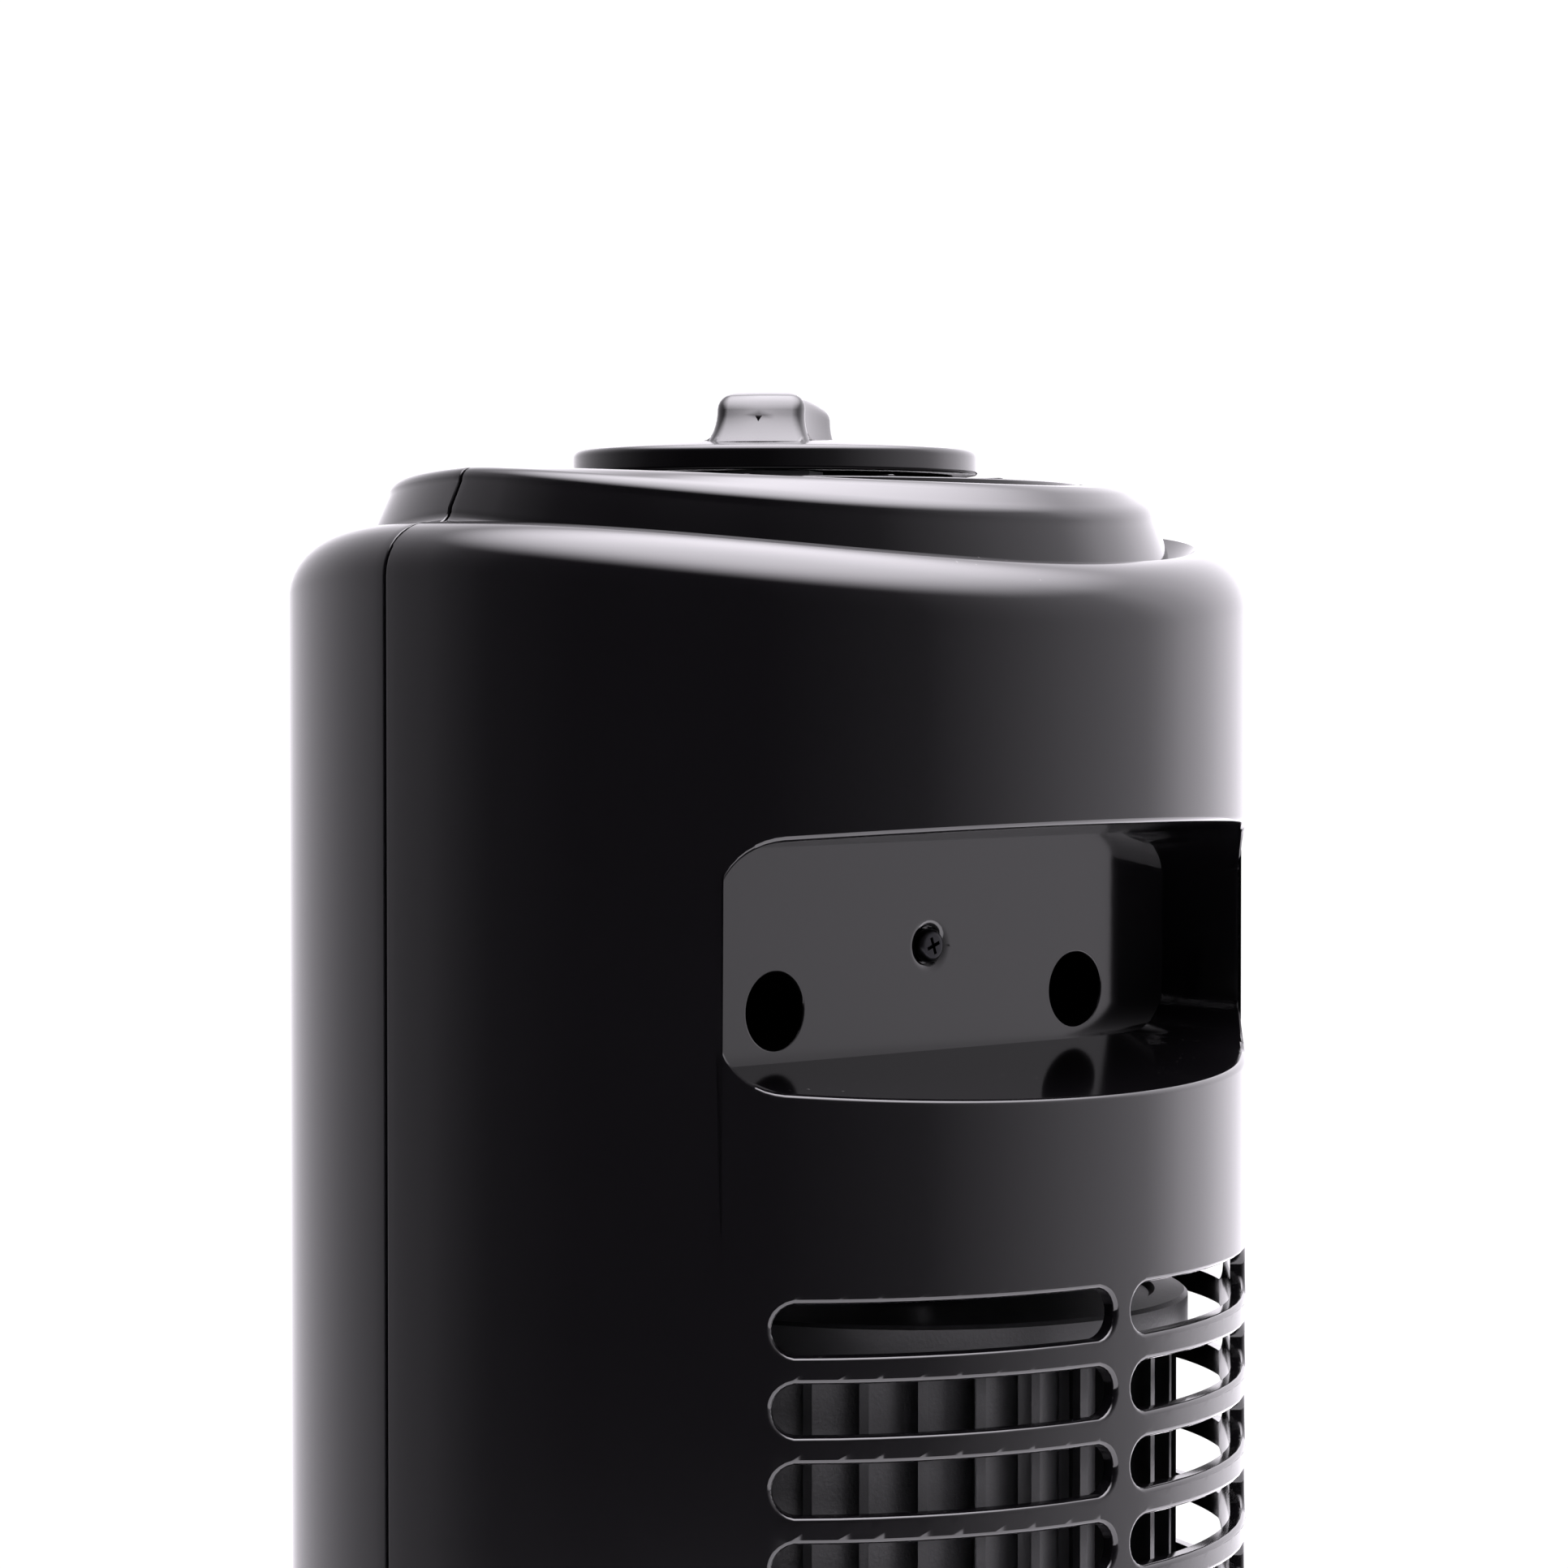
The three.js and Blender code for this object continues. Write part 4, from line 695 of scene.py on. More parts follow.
def rear_shell():
    """The rear shell: a capped casing with its pocket, the rows of slots and the lower wall."""
    body, pocket, intake = settings().body, settings().pocket, settings().intake
    split = intake.top - intake.slot / 2 + intake.pitch / 2
    shell = body_solid("rear_casing", split, 0, 0)
    boolean(shell, body_solid("inside", split - 10 * MM, body.wall, body.top_wall))
    walls = drafted_block(
        "pocket_walls", pocket.back_y - body.wall, pocket.half_width + body.wall,
        pocket.half_height + body.wall, pocket.corner + body.wall)
    boolean(walls, body_solid("room", split - 10 * MM, body.wall / 2, body.top_wall), "INTERSECT")
    boolean(shell, walls, "UNION")
    middle = (SCREW_LOW.z + SCREW_HIGH.z) / 2
    bore_x, _, bore_z = middle_of("shell_screw_right")
    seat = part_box("shell_screw_right")[1].y - 2.9 * MM
    for x in (-bore_x, bore_x):
        tube = rod(
            "tube", pocket.bore_radius + 2.2 * MM, (x, seat - 3 * MM, bore_z),
            (x, pocket.back_y - 1 * MM, bore_z), 48)
        boolean(shell, tube, "UNION")
    hollow = drafted_block(
        "hollow", pocket.back_y, pocket.half_width, pocket.half_height, pocket.corner)
    boolean(shell, hollow)
    for x in (-bore_x, bore_x):
        boolean(shell, rod(
            "bore", pocket.bore_radius, (x, seat, bore_z), (x, pocket.back_y + 2 * MM, bore_z), 48))
    recess = SCREW_HIGH.x + 0.4 * MM
    dimple = turned("recess", [
        (recess, -1.3 * MM), (recess, -0.45 * MM), (recess + 0.5 * MM, -0.2 * MM),
        (recess + 1.4 * MM, -0.02 * MM), (recess + 1.7 * MM, 2 * MM)], sides=64)
    dimple.rotation_euler = (math.radians(-90), 0, 0)
    dimple.location = (0, pocket.back_y, middle)
    boolean(shell, settle(dimple, "recess"))
    boolean(shell, dial_recess())
    weld(shell, 0.05 * MM)
    round_rims(shell, 0.9 * MM, lambda co: co.y > pocket.back_y + 2 * MM
               and abs(co.z - middle) < 26 * MM)
    round_rims(shell, 0.35 * MM, lambda co: abs(co.y - pocket.back_y) < 0.05 * MM
               and abs(co.z - middle) < 17 * MM and abs(co.x) < 42 * MM)
    begin_edit(shell)
    pick(shell, "faces", lambda f: f.normal.z < -0.9
         and f.calc_center_median().z < split + 0.01 * MM)
    bpy.ops.mesh.delete(type="FACE")
    end_edit()

    rows = slot_row()
    lower_top = split - intake.pitch * intake.rows
    outer, inner = BODY_RADIUS, BODY_RADIUS - body.wall
    lower = turned(
        "lower_wall", [(outer, lower_top), (outer, SHELL_LOW.z), (inner, SHELL_LOW.z),
                       (inner, lower_top)], (0, BODY_CENTRE_Y), BODY_SIDES, hollow=True)
    begin_edit(lower)
    pick(lower, "faces", lambda f: abs(f.normal.z) > 0.9
         and f.calc_center_median().z > lower_top - MM)
    bpy.ops.mesh.delete(type="FACE")
    end_edit()
    follow_body(lower, tops=False)
    weld(join(shell, rows, lower))
    edge = body.seam_y + body.seam_width / 2
    boolean(shell, far_block("front_side", -0.2, edge))
    round_rims(shell, 0.4 * MM, lambda co: abs(co.y - edge) < 0.02 * MM)
    return smooth(shell)


def dial_recess():
    """The shallow round seat that the dial plate lies in."""
    return rod(
        "dial_recess", DIAL_HIGH.x + 0.3 * MM, (0, 0, DIAL_LOW.z - 0.3 * MM),
        (0, 0, DIAL_LOW.z + 20 * MM), 96)


# ------------------------------------------------------------------ front shell and grille


def front_shell():
    """The front shell, open at the outlet."""
    body = settings().body
    shell = body_solid("front_casing", SHELL_LOW.z, 0, 0)
    boolean(shell, body_solid("inside", SHELL_LOW.z - 5 * MM, body.wall, body.top_wall))
    boolean(shell, dial_recess())
    window = block(
        "window", (GRILLE_LOW.x - 0.3 * MM, -0.15, GRILLE_LOW.z - 0.3 * MM),
        (GRILLE_HIGH.x + 0.3 * MM, -0.02, GRILLE_HIGH.z + 0.3 * MM))
    round_window(window, 6 * MM)
    boolean(shell, window)
    boolean(shell, far_block("back_side", body.seam_y - body.seam_width / 2, 0.2))
    round_edges(shell, 0.35 * MM, 2, 60)
    return smooth(shell)


def round_window(obj, radius):
    """Rounds the four edges of a block that run from front to back."""
    begin_edit(obj)
    pick(obj, "edges", lambda e: abs(e.verts[0].co.y - e.verts[1].co.y) > 10 * MM)
    bpy.ops.mesh.bevel(offset=radius, segments=6, affect="EDGES")
    end_edit()
    return obj


def grille():
    """The outlet's grille: a panel that follows the front, cut into upright slots."""
    inset, thickness, rim = 0.6 * MM, 2.8 * MM, 4 * MM
    columns, rows, bar_width, tie = 11, 6, 2.4 * MM, 3 * MM
    panel = body_solid("outlet_grille", SHELL_LOW.z, inset, 6 * MM)
    boolean(panel, body_solid("inside", SHELL_LOW.z - 5 * MM, inset + thickness, 12 * MM))
    window = block(
        "window", (GRILLE_LOW.x, -0.15, GRILLE_LOW.z), (GRILLE_HIGH.x, -0.024, GRILLE_HIGH.z))
    boolean(panel, round_window(window, 5.7 * MM), "INTERSECT")
    width = GRILLE_HIGH.x - GRILLE_LOW.x - 2 * rim
    height = GRILLE_HIGH.z - GRILLE_LOW.z - 2 * rim
    column_pitch, row_pitch = (width + bar_width) / columns, (height + tie) / rows
    left, bottom = GRILLE_LOW.x + rim, GRILLE_LOW.z + rim
    slots = []
    for column in range(columns):
        for row in range(rows):
            x, z = left + column * column_pitch, bottom + row * row_pitch
            slot = block(
                "slot", (x, -0.15, z), (x + column_pitch - bar_width, -0.02, z + row_pitch - tie))
            slots.append(round_window(slot, 2.6 * MM))
    boolean(panel, join(*slots))
    round_edges(panel, 0.5 * MM, 2, 60)
    return smooth(panel)


# ------------------------------------------------------------------ knob and dial

def place_along_pointer(obj):
    """Turns a piece drawn along X so that it points where the knob points."""
    activate(obj)
    obj.rotation_euler = (0, 0, POINTER)
    return settle(obj, obj.name)


def knob():
    """The knob: a round plate with a grip across it."""
    radius, disc = KNOB_HIGH.x, 5 * MM
    bottom, top = KNOB_LOW.z, KNOB_HIGH.z
    rim = bottom + disc
    profile = [(radius - 4 * MM, bottom + 2.6 * MM), (radius - 4 * MM, bottom),
               (radius - 0.8 * MM, bottom)]
    profile += arc((radius - 0.6 * MM, bottom + 0.6 * MM), 0.6 * MM, -60, 0, 3)
    profile += arc((radius - 1.2 * MM, rim - 2.2 * MM), 1.2 * MM, 0, 70, 5)
    profile += [(radius - 4.5 * MM, rim - 0.45 * MM), (radius - 7.5 * MM, rim - 0.12 * MM),
                (radius * 0.6, rim), (radius * 0.3, rim + 0.1 * MM), (0.5 * MM, rim + 0.1 * MM)]
    plate = turned("knob_moulding", profile, sides=96)
    grip = knob_grip(rim - 0.5 * MM, top)
    boolean(plate, grip, "UNION")
    begin_edit(plate)
    pick(plate, "edges", lambda e: len(e.link_faces) == 2 and e.calc_face_angle(0) > 0.7
         and rim - 0.3 * MM < e.verts[0].co.z < rim + 0.8 * MM
         and rim - 0.3 * MM < e.verts[1].co.z < rim + 0.8 * MM
         and e.verts[0].co.xy.length < radius - 3.2 * MM)
    bpy.ops.mesh.bevel(offset=1.0 * MM, segments=3, affect="EDGES")
    end_edit()
    boolean(plate, pointer_mark(top))
    return smooth(plate, 40)


def knob_grip(bottom, top):
    """The bar across the knob: slanted round ends and flanks scooped to a waist."""
    half_length, half_width, edge = 27 * MM, 8.8 * MM, 2.4 * MM
    grip = block("grip", (-half_length, -half_width, bottom), (half_length, half_width, top))
    begin_edit(grip)
    pick(grip, "edges", lambda e: max(v.co.z for v in e.verts) > top - MM)
    bpy.ops.mesh.bevel(offset=edge, segments=5, affect="EDGES")
    for plane, reach, cuts in (((1, 0, 0), half_length, 28), ((0, 1, 0), half_width, 6)):
        for i in range(1, cuts):
            place = reach * (2 * i / cuts - 1)
            bpy.ops.mesh.select_all(action="SELECT")
            bpy.ops.mesh.bisect(plane_co=[place * axis for axis in plane], plane_no=plane)
    for i in range(1, 6):
        bpy.ops.mesh.select_all(action="SELECT")
        height = bottom + (top - edge - bottom) * i / 6
        bpy.ops.mesh.bisect(plane_co=(0, 0, height), plane_no=(0, 0, 1))
    end_edit()
    for vertex in grip.data.vertices:
        along, across = vertex.co.x / half_length, vertex.co.y / half_width
        up = (vertex.co.z - bottom) / (top - bottom)
        waist = 0.36 + 0.64 * abs(along) ** 1.7
        flare = 0.86 + 0.14 * max(1 - up * 1.6, 0) ** 2
        bulge = 0.09 * (1 - across**2) * along
        vertex.co.x = half_length * (along * (0.84 + 0.16 * (1 - up) ** 1.5) + bulge)
        vertex.co.y = half_width * across * waist * flare
        vertex.co.z -= 1.8 * MM * up * along**4
    return place_along_pointer(grip)


def pointer_mark(top):
    """A small three-cornered mark, sunk a little into the end of the grip."""
    deselect()
    bpy.ops.mesh.primitive_cylinder_add(
        vertices=3, radius=1.5 * MM, depth=8 * MM, location=(30.1 * MM, 0, top - 4.2 * MM),
        rotation=(math.radians(90), math.radians(180), math.radians(90)))
    return place_along_pointer(settle(bpy.context.object, "mark"))


def dial():
    """The dial plate with a raised tick for each setting."""
    radius = DIAL_HIGH.x
    top = DIAL_LOW.z + 1.4 * MM
    profile = [(5.3 * MM, DIAL_LOW.z), (radius, DIAL_LOW.z), (radius, top - 0.5 * MM),
               (radius - 0.15 * MM, top - 0.15 * MM), (radius - 0.5 * MM, top), (5.3 * MM, top)]
    plate = turned("dial_disc", profile, sides=144, hollow=True)
    for i in range(KNOB_SETTINGS):
        tick = block(
            "tick", (37 * MM, -0.6 * MM, top - 0.6 * MM), (44 * MM, 0.6 * MM, top + 0.5 * MM))
        tick.rotation_euler = (0, 0, POINTER + SETTING_STEP * (i - KNOB_SETTINGS // 2))
        boolean(plate, round_edges(settle(tick, "tick"), 0.25 * MM), "UNION")
    return smooth(plate, 40)


# ------------------------------------------------------------------ blower wheel


def blower():
    """The blower wheel: two discs, curved blades and two rings that stiffen them."""
    cx, cy = WHEEL_CENTRE
    radius = (WHEEL_HIGH.x - WHEEL_LOW.x) / 2
    low, high = WHEEL_LOW.z + 4.5 * MM, WHEEL_HIGH.z
    outer, inner, sheet = 43.5 * MM, 33 * MM, 1.2 * MM
    blade = blade_strip(outer, inner, sheet, low + 1 * MM, high - 1 * MM)
    begin_edit(blade)
    bpy.ops.mesh.select_all(action="SELECT")
    bpy.ops.mesh.spin(
        steps=BLADES, dupli=True, angle=math.radians(360), center=(cx, cy, 0), axis=(0, 0, 1))
    end_edit()
    weld(blade, 0.01 * MM)
    rim = radius - 2.2 * MM
    upper = turned("upper_disc", [
        (9 * MM, high - 5.5 * MM), (9 * MM, high - 2.5 * MM), (rim, high - 2.5 * MM),
        (rim, high - 7 * MM), (radius - 0.4 * MM, high - 7 * MM), (radius, high - 6.6 * MM),
        (radius, high - 0.6 * MM), (radius - 0.6 * MM, high), (40 * MM, high),
        (39 * MM, high - 0.8 * MM), (14 * MM, high - 0.8 * MM), (13 * MM, high), (3.3 * MM, high),
        (3.3 * MM, high - 5.5 * MM)],
        (cx, cy), 96, hollow=True)
    lower = turned("lower_disc", [
        (3.3 * MM, WHEEL_LOW.z), (8.7 * MM, WHEEL_LOW.z), (8.7 * MM, low), (radius - 0.6 * MM, low),
        (radius, low + 0.6 * MM), (radius, low + 2.5 * MM), (9 * MM, low + 2.5 * MM),
        (9 * MM, low + 14 * MM), (3.3 * MM, low + 14 * MM)], (cx, cy), 96, hollow=True)
    pitch = (high - low) / 3
    rings = [
        turned("ring", [(inner - 1 * MM, z - 1 * MM), (outer + 1 * MM, z - 1 * MM),
                        (outer + 1 * MM, z + 1 * MM), (inner - 1 * MM, z + 1 * MM)],
               (cx, cy), 96, hollow=True)
        for z in (low + pitch, low + 2 * pitch)]
    wheel = join(blade, upper, lower, *rings)
    wheel.name = "blower_rotor"
    return smooth(wheel, 30)


def blade_strip(outer, inner, sheet, low, high):
    """One curved blade, its hollow side facing the way that the wheel turns."""
    cx, cy = WHEEL_CENTRE
    chord = outer - inner
    deselect()
    bpy.ops.mesh.primitive_plane_add(size=1, location=(0, 0, (low + high) / 2))
    blade = bpy.context.object
    blade.scale = (chord, sheet, 1)
    settle(blade, "blade")
    begin_edit(blade)
    steps = 8
    for i in range(1, steps):
        bpy.ops.mesh.select_all(action="SELECT")
        bpy.ops.mesh.bisect(plane_co=(-chord / 2 + chord * i / steps, 0, 0), plane_no=(1, 0, 0))
    bpy.ops.mesh.select_all(action="SELECT")
    bpy.ops.transform.translate(value=(0, 0, -(high - low) / 2))
    bpy.ops.mesh.extrude_region_move(TRANSFORM_OT_translate={"value": (0, 0, high - low)})
    end_edit()
    for vertex in blade.data.vertices:
        share = vertex.co.x / chord + 0.5
        radius = inner + chord * share
        bow = 4.2 * MM * math.sin(math.pi * share) * 0.5
        taper = 0.75 + 0.5 * share
        angle = BLADE_LEAN * (1 - share) + (bow + vertex.co.y * taper) / radius
        vertex.co.x = cx + radius * math.cos(angle)
        vertex.co.y = cy + radius * math.sin(angle)
    return blade


# ------------------------------------------------------------------ screws


def screw(name, low, high, towards):
    """A pan-head screw with a cross recess, its head towards a direction, in a box."""
    size = high - low
    middle = (low + high) / 2
    along = Vector(towards)
    total = abs(size.dot(along))
    across = max(size[i] for i in range(3) if abs(along[i]) < 0.5)
    head = across / 2
    cap = head * 0.65
    shank = 1.8 * MM
    profile = [(0.4 * MM, -(total - cap)), (shank * 0.6, -(total - cap) + 0.8 * MM)]
    thread = -(total - cap) + 1.6 * MM
    while thread < -1.6 * MM:
        profile += [(shank, thread), (shank * 0.8, thread + 0.35 * MM),
                    (shank * 0.8, thread + 0.6 * MM)]
        thread += 0.95 * MM
    profile += [(shank, -0.6 * MM), (shank, 0), (head - 0.2 * MM, 0), (head, 0.3 * MM)]
    profile += arc((head * 0.66, cap - head * 0.34), head * 0.34, 10, 90, 5) + [(0.3 * MM, cap)]
    made = turned(name, profile, sides=24)
    for turn_by in (0, 90):
        slot = block(
            "cross", (-head * 0.52, -head * 0.11, cap * 0.4), (head * 0.52, head * 0.11, cap + MM))
        slot.rotation_euler = (0, 0, math.radians(turn_by + 20))
        boolean(made, settle(slot, "cross"))
    made.matrix_world = (
        Matrix.Translation(middle + along * (total / 2 - cap))
        @ along.to_track_quat("Z", "Y").to_matrix().to_4x4())
    settle(made, name)
    return smooth(made, 40)


# ------------------------------------------------------------------ base


def dome(wall, steps):
    """The base's domed outline from its rim up to the hub, moved in by a wall."""
    hub, rim_top = 66 * MM, 15 * MM
    reach, rise = BASE_HIGH.y - hub - wall, BASE_HIGH.z - rim_top - wall
    angles = [math.radians(90 * i / steps) for i in range(steps + 1)]
    return [(hub + reach * math.cos(a), rim_top + rise * math.sin(a)) for a in angles]


def base_cover():
    """The base's domed cover, with a hole for the pivot and one for the lead's collar."""
    wall, hole = 2.8 * MM, SWIVEL_HOLE
    radius, low = BASE_HIGH.y, BASE_LOW.z
    profile = [(radius - wall, low), (radius - 1.2 * MM, low), (radius - 0.4 * MM, low + 0.4 * MM),
               (radius, low + 1.2 * MM)]
    profile += dome(0, 20)
    profile += [(hole + 0.6 * MM, BASE_HIGH.z), (hole, BASE_HIGH.z - 0.6 * MM),
                (hole, BASE_HIGH.z - wall)]
    profile += dome(wall, 20)[::-1]
    cover = turned("base_dome", profile, sides=192, hollow=True)
    z = middle_of("cord_gland")[2]
    boolean(cover, rod("hole", 4.9 * MM, (0, radius - 10 * MM, z), (0, radius + 5 * MM, z), 48))
    boolean(cover, rod("seat", 6.5 * MM, (0, radius - 1.8 * MM, z), (0, radius + 5 * MM, z), 48))
    return smooth(cover, 40)


def base_plate():
    """The underside's plate, with two raised rings, screw holes and the drive's posts."""
    radius, low, high = PLATE_HIGH.x, PLATE_LOW.z, PLATE_LOW.z + 2.5 * MM
    profile = [(4 * MM, high), (4 * MM, low + 0.4 * MM)]
    for ring in (30 * MM, 82 * MM):
        profile += [(ring - 2.5 * MM, low + 0.4 * MM), (ring - 2 * MM, low), (ring + 2 * MM, low),
                    (ring + 2.5 * MM, low + 0.4 * MM)]
    profile += [(radius - 2 * MM, low + 0.4 * MM), (radius, low + 0.9 * MM), (radius, high)]
    plate = turned("bottom_plate", profile, sides=144, hollow=True)
    for name in ("swing_motor_screw_1", "swing_motor_screw_2"):
        x, y, _ = middle_of(name)
        post = rod("post", 4 * MM, (x, y, high - 0.5 * MM), (x, y, PLATE_HIGH.z), 48)
        boolean(plate, post, "UNION")
    for i in range(1, 5):
        x, y, _ = middle_of(f"base_screw_{i}")
        boolean(plate, rod("hole", 2.1 * MM, (x, y, low - MM), (x, y, high + MM), 24))
    return smooth(plate, 40)


def foot(name):
    """A rubber foot with a rolled edge and a ringed sole."""
    low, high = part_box(name)
    x, y, radius = (low.x + high.x) / 2, (low.y + high.y) / 2, (high.x - low.x) / 2
    profile = [(0.5 * MM, 0.4 * MM), (radius * 0.45, 0.4 * MM), (radius * 0.5, 0),
               (radius * 0.7, 0), (radius * 0.75, 0.4 * MM), (radius * 0.8, 0)]
    profile += arc((radius - 1 * MM, 1 * MM), 1 * MM, -90, 0, 4)
    profile += [(radius - 0.3 * MM, high.z), (0.5 * MM, high.z)]
    return smooth(turned(name + "_rubber", profile, (x, y), 64), 40)


def gland():
    """A rubber collar for the mains lead, ribbed where it grips."""
    low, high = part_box("cord_gland")
    outer, z = (high.x - low.x) / 2, (low.z + high.z) / 2
    depth = high.y - low.y
    neck, bore = 4.6 * MM, 2.6 * MM
    profile = [(bore, 0), (outer, 0), (outer, 2.2 * MM), (outer - 0.2 * MM, 2.4 * MM),
               (neck, 2.4 * MM), (neck, depth - 1.5 * MM), (outer, depth - 1.5 * MM),
               (outer, depth - 0.8 * MM)]
    profile += arc((outer - 0.8 * MM, depth - 0.8 * MM), 0.8 * MM, 20, 90, 4)
    profile += [(bore + 0.8 * MM, depth), (bore + 0.2 * MM, depth - 0.2 * MM),
                (bore, depth - 0.8 * MM)]
    collar = turned("lead_collar", profile, sides=48, hollow=True)
    collar.rotation_euler = (math.radians(-90), 0, 0)
    collar.location = (0, low.y, z)
    return smooth(settle(collar, "lead_collar"), 40)


def turntable():
    """The turntable: a disc on the base, a plate in the body's foot, and the motor's posts."""
    low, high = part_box("turntable")
    top = SHELL_LOW.z + 4.7 * MM
    disc_top = SHELL_LOW.z - 0.3 * MM
    radius, hole = 63 * MM, SWIVEL_HOLE
    disc = turned("swivel", [
        (hole, low.z), (radius - 0.6 * MM, low.z), (radius, low.z + 0.6 * MM),
        (radius, disc_top - 0.6 * MM), (radius - 0.6 * MM, disc_top), (hole, disc_top)],
        sides=144, hollow=True)
    edge = high.x
    plate = turned(
        "plate", [(hole, disc_top - MM), (edge, disc_top - MM), (edge, top), (hole, top)],
        (0, BODY_CENTRE_Y), 144, hollow=True)
    begin_edit(plate)
    pick(plate, "verts", lambda v: (v.co.xy - Vector((0, BODY_CENTRE_Y))).length < 2 * hole)
    bpy.ops.transform.translate(value=(0, -BODY_CENTRE_Y, 0))
    end_edit()
    for vertex in plate.data.vertices:
        if vertex.co.xy.length > 2 * hole:
            follow_vertex(vertex)
    boolean(disc, plate, "UNION")
    for i in range(1, 4):
        x, y, _ = middle_of(f"bracket_screw_{i}")
        boolean(disc, rod("post", 4.5 * MM, (x, y, top - MM), (x, y, high.z), 32), "UNION")
    return smooth(disc, 40)


# ------------------------------------------------------------------ operators


class FAN_OT_rear_shell(bpy.types.Operator):
    """Model the rear shell with its handle pocket and intake slots"""

    bl_idname = "fan.rear_shell"
    bl_label = "Rear Shell"

    def execute(self, context):
        looks = finishes()
        finish_piece(rear_shell(), "tower", "shell_gloss", looks["shell_gloss"], "rear_shell")
        return {"FINISHED"}


class FAN_OT_front_shell(bpy.types.Operator):
    """Model the front shell and the grille in its outlet"""

    bl_idname = "fan.front_shell"
    bl_label = "Front Shell and Grille"

    def execute(self, context):
        looks = finishes()
        finish_piece(front_shell(), "tower", "shell_gloss", looks["shell_gloss"], "front_shell")
        finish_piece(grille(), "tower", "grille_black", looks["grille_black"], "front_grille")
        return {"FINISHED"}


class FAN_OT_knob(bpy.types.Operator):
    """Model the control knob and the dial plate under it"""

    bl_idname = "fan.knob"
    bl_label = "Knob and Dial"

    def execute(self, context):
        looks = finishes()
        finish_piece(knob(), "knob", "knob_gloss", looks["knob_gloss"], "control_knob")
        finish_piece(dial(), "tower", "shell_gloss", looks["shell_gloss"], "dial_plate")
        return {"FINISHED"}


class FAN_OT_blower(bpy.types.Operator):
    """Model the blower wheel"""

    bl_idname = "fan.blower"
    bl_label = "Blower Wheel"

    def execute(self, context):
        finish_piece(
            blower(), "blower", "blower_black", finishes()["blower_black"], "blower_wheel")
        return {"FINISHED"}


class FAN_OT_screws(bpy.types.Operator):
    """Model the screws"""

    bl_idname = "fan.screws"
    bl_label = "Screws"

    def execute(self, context):
        looks = finishes()
        slots = {part["node"]: part["material_slot"] for part in frame["record"]["subparts"]}
        rows = (
            ("tower", (0, 1, 0), ("pocket_screw", "shell_screw_left", "shell_screw_right")),
            ("tower", (0, 0, -1), [f"turntable_screw_{i}" for i in range(1, 5)]),
            ("tower", (0, 0, 1), [f"bracket_screw_{i}" for i in range(1, 4)]),
            ("base", (0, 0, -1), [f"base_screw_{i}" for i in range(1, 5)]),
            ("base", (0, 0, 1), [f"swing_motor_screw_{i}" for i in range(1, 3)]),
        )
        for body, towards, names in rows:
            for name in names:
                made = screw(name.replace("screw", "fixing"), *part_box(name), towards)
                finish_piece(made, body, slots[name], looks[slots[name]], name)
        return {"FINISHED"}


class FAN_OT_base(bpy.types.Operator):
    """Model the base, the turntable on it, its feet and its lead collar"""

    bl_idname = "fan.base"
    bl_label = "Base"

    def execute(self, context):
        looks = finishes()
        finish_piece(base_cover(), "base", "shell_gloss", looks["shell_gloss"], "base_cover")
        finish_piece(base_plate(), "base", "inner_black", looks["inner_black"], "base_plate")
        finish_piece(turntable(), "tower", "inner_black", looks["inner_black"], "turntable")
        for i in range(1, 5):
            name = f"foot_{i}"
            finish_piece(foot(name), "base", "rubber_black", looks["rubber_black"], name)
        finish_piece(gland(), "base", "rubber_black", looks["rubber_black"], "cord_gland")
        return {"FINISHED"}


class FAN_OT_inner_parts(bpy.types.Operator):
    """Give the inner parts their finishes"""

    bl_idname = "fan.inner_parts"
    bl_label = "Inner Parts"

    def execute(self, context):
        looks = finishes()
        for part in frame["record"]["subparts"]:
            mesh = frame["nodes"][part["node"]].data
            if not mesh.materials:
                mesh.materials.append(None)
            for i in range(len(mesh.materials)):
                mesh.materials[i] = looks[part["material_slot"]]
        return {"FINISHED"}


class FAN_OT_stage(bpy.types.Operator):
    """Add the floor, the room's light and the camera"""

    bl_idname = "fan.stage"
    bl_label = "Stage"

    def execute(self, context):
        studio_floor()
        studio_world()
        studio_camera()
        return {"FINISHED"}


def studio_floor():
    """A pale round floor."""
    deselect()
    bpy.ops.mesh.primitive_circle_add(vertices=128, radius=FLOOR_RADIUS, fill_type="NGON")
    floor = settle(bpy.context.object, "floor")
    floor.data.materials.append(plastic("Pale floor", (0.86, 0.86, 0.86), 0.6, 0.05, 40.0, 0.01))


def math_node(tree, operation, first, second=None):
    """A Math node of numbers or sockets; gives its result's socket."""
    made = tree.nodes.new("ShaderNodeMath")
    made.operation = operation
    for socket, value in zip(made.inputs, (first, second)):
        if isinstance(value, (int, float)):
            socket.default_value = value
        elif value is not None:
            tree.links.new(value, socket)
    return made.outputs[0]


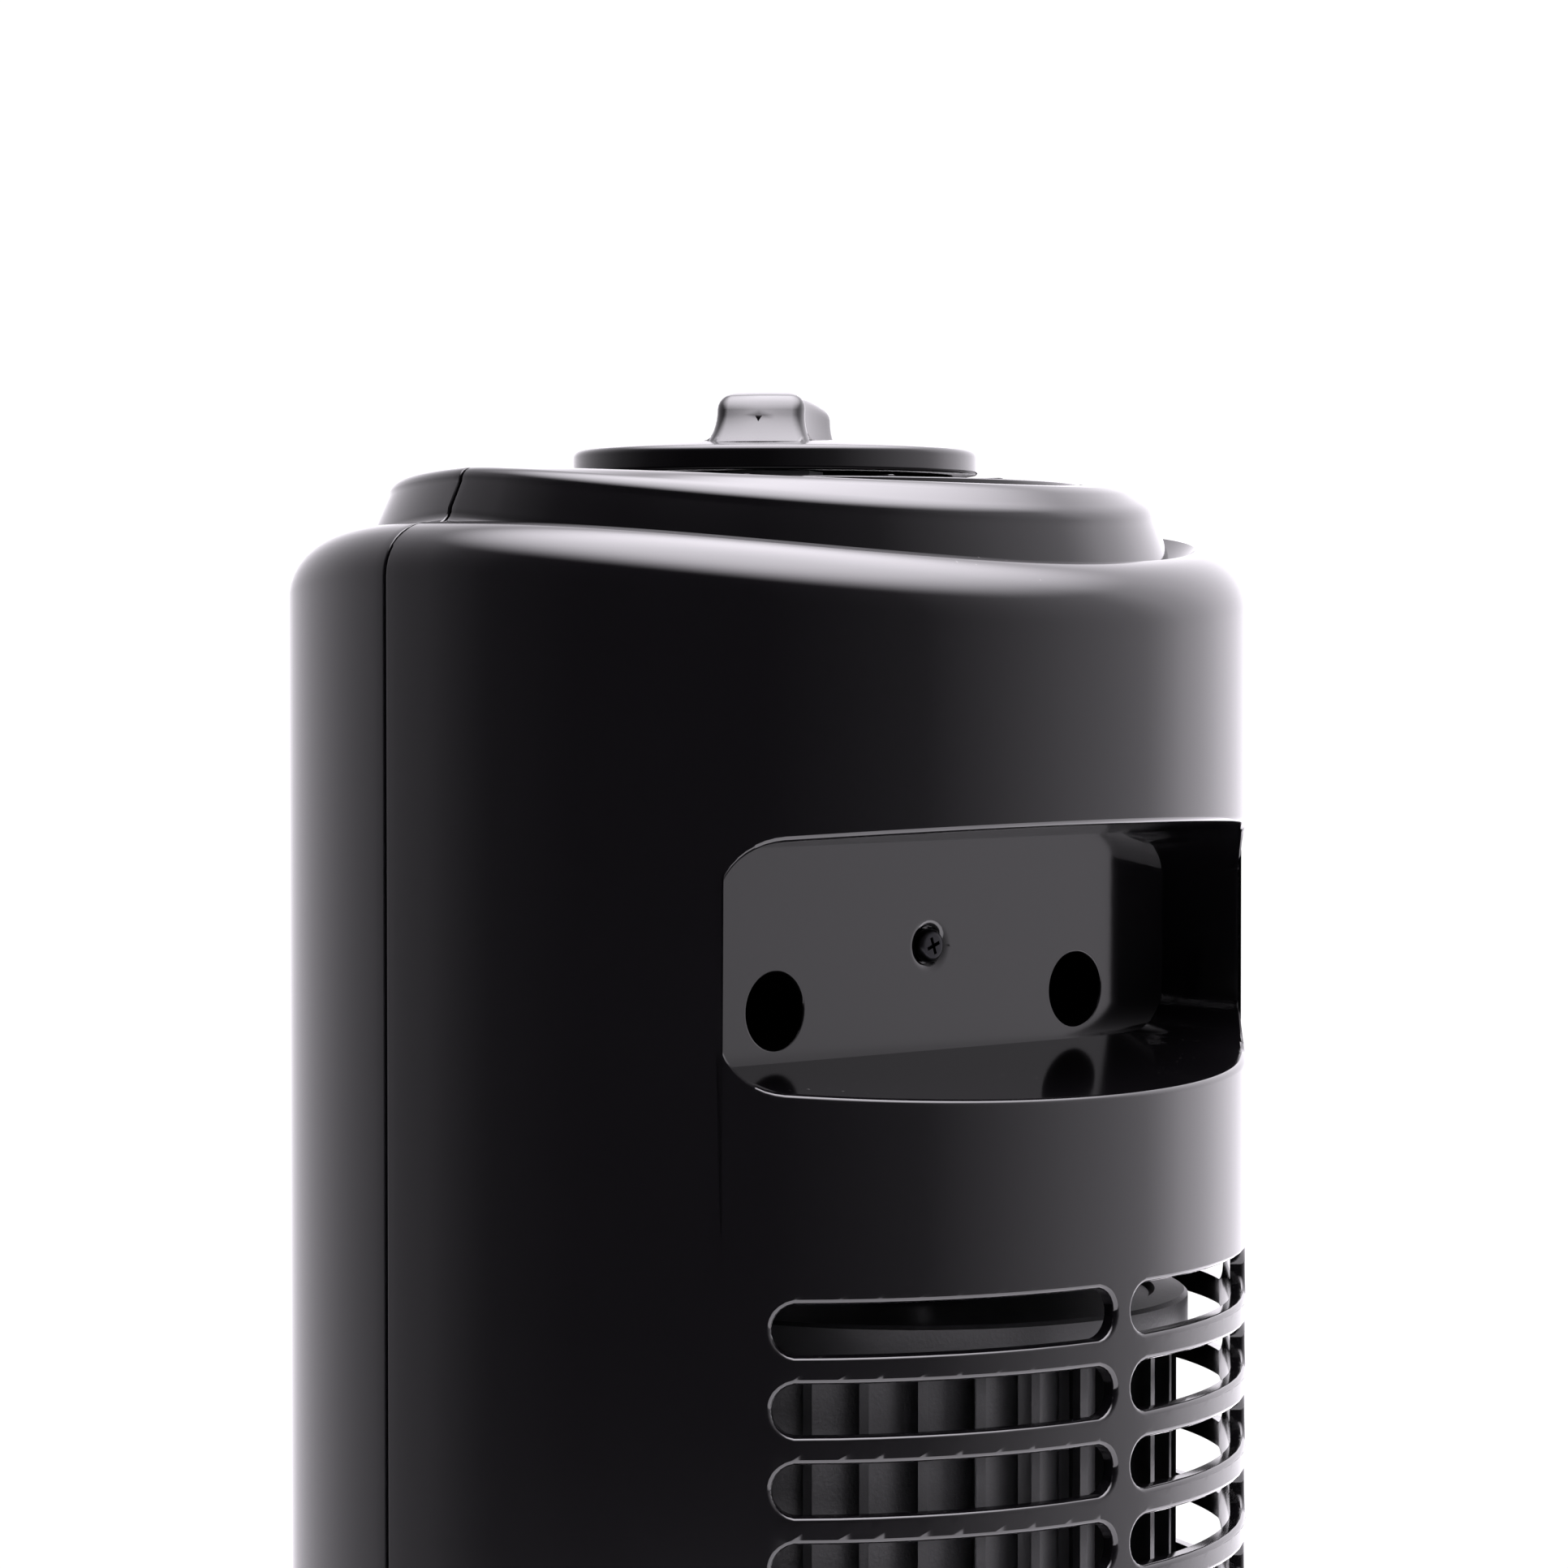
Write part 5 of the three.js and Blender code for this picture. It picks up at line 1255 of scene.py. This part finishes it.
def studio_world():
    """A white backdrop for the camera; the gloss mirrors a room with one dark side."""
    world = bpy.data.worlds.new("Studio")
    bpy.context.scene.world = world
    world.use_nodes = True
    tree = world.node_tree
    tree.nodes.clear()
    link = tree.links.new
    place = tree.nodes.new("ShaderNodeTexCoord")
    split = tree.nodes.new("ShaderNodeSeparateXYZ")
    link(place.outputs["Generated"], split.inputs[0])
    angle = math_node(tree, "ARCTAN2", split.outputs["Y"], split.outputs["X"])
    around = math_node(tree, "MULTIPLY_ADD", angle, 1 / math.tau)
    around.node.inputs[2].default_value = 0.5
    brightest = max(value for _, value in ROOM)
    ramp = tree.nodes.new("ShaderNodeValToRGB")
    sides = ramp.color_ramp
    for _ in ROOM[2:]:
        sides.elements.new(0.5)
    for element, (degrees, value) in zip(sides.elements, ROOM):
        element.position = (degrees + 180) / 360
        element.color = (*(value / brightest,) * 3, 1)
    link(around, ramp.inputs["Fac"])
    level = math_node(tree, "MULTIPLY", ramp.outputs["Color"], brightest)
    height = tree.nodes.new("ShaderNodeMapRange")
    height.interpolation_type = "SMOOTHSTEP"
    height.inputs["From Min"].default_value = CEILING_START
    height.inputs["From Max"].default_value = CEILING_END
    link(split.outputs["Z"], height.inputs["Value"])
    ceiling = tree.nodes.new("ShaderNodeMix")
    ceiling.inputs["B"].default_value = CEILING_BRIGHTNESS
    link(height.outputs[0], ceiling.inputs["Factor"])
    link(level, ceiling.inputs["A"])
    room = tree.nodes.new("ShaderNodeBackground")
    room.inputs["Color"].default_value = ROOM_TINT
    link(ceiling.outputs["Result"], room.inputs["Strength"])
    white = tree.nodes.new("ShaderNodeBackground")
    white.inputs["Color"].default_value = (1, 1, 1, 1)
    white.inputs["Strength"].default_value = BACKDROP_BRIGHTNESS
    eye = tree.nodes.new("ShaderNodeLightPath")
    mix = tree.nodes.new("ShaderNodeMixShader")
    link(eye.outputs["Is Camera Ray"], mix.inputs["Fac"])
    link(room.outputs[0], mix.inputs[1])
    link(white.outputs[0], mix.inputs[2])
    out = tree.nodes.new("ShaderNodeOutputWorld")
    link(mix.outputs[0], out.inputs["Surface"])


def studio_camera():
    """A long lens a little above the handle, behind the fan and to its right."""
    place, target = Vector(CAMERA_PLACE), Vector(CAMERA_TARGET)
    lens = bpy.data.cameras.new("camera")
    lens.lens = CAMERA_LENS
    lens.sensor_width = 36
    lens.clip_end = 100
    camera = bpy.data.objects.new("camera", lens)
    camera.location = place
    camera.rotation_euler = (target - place).to_track_quat("-Z", "Y").to_euler()
    bpy.context.scene.collection.objects.link(camera)
    bpy.context.scene.camera = camera
    bpy.context.scene.view_settings.view_transform = "Standard"


class FanSettings(bpy.types.PropertyGroup):
    body: PointerProperty(type=FanBody)
    pocket: PointerProperty(type=FanPocket)
    intake: PointerProperty(type=FanIntake)
    finish: PointerProperty(type=FanFinish)


OPERATORS = (
    FAN_OT_stage,
    FAN_OT_inner_parts,
    FAN_OT_rear_shell,
    FAN_OT_front_shell,
    FAN_OT_knob,
    FAN_OT_blower,
    FAN_OT_screws,
    FAN_OT_base,
)


class FAN_PT_panel(bpy.types.Panel):
    """Buttons that build the fan piece by piece"""

    bl_idname = "FAN_PT_panel"
    bl_label = "Tower Fan"
    bl_space_type = "VIEW_3D"
    bl_region_type = "UI"
    bl_category = "Tower Fan"

    def draw(self, context):
        fan = context.scene.tower_fan
        for group in (fan.body, fan.pocket, fan.intake, fan.finish):
            box = self.layout.box()
            for key in group.bl_rna.properties.keys():
                if key not in ("rna_type", "name"):
                    box.prop(group, key)
        for operator in OPERATORS:
            self.layout.operator(operator.bl_idname)


CLASSES = (*GROUPS, FanSettings, *OPERATORS, FAN_PT_panel)


def register():
    for cls in CLASSES:
        bpy.utils.register_class(cls)
    bpy.types.Scene.tower_fan = PointerProperty(type=FanSettings)


def unregister():
    del bpy.types.Scene.tower_fan
    for cls in reversed(CLASSES):
        bpy.utils.unregister_class(cls)


def main():
    register()
    for operator in OPERATORS:
        group, name = operator.bl_idname.split(".")
        getattr(getattr(bpy.ops, group), name)()


if __name__ == "__main__":
    main()
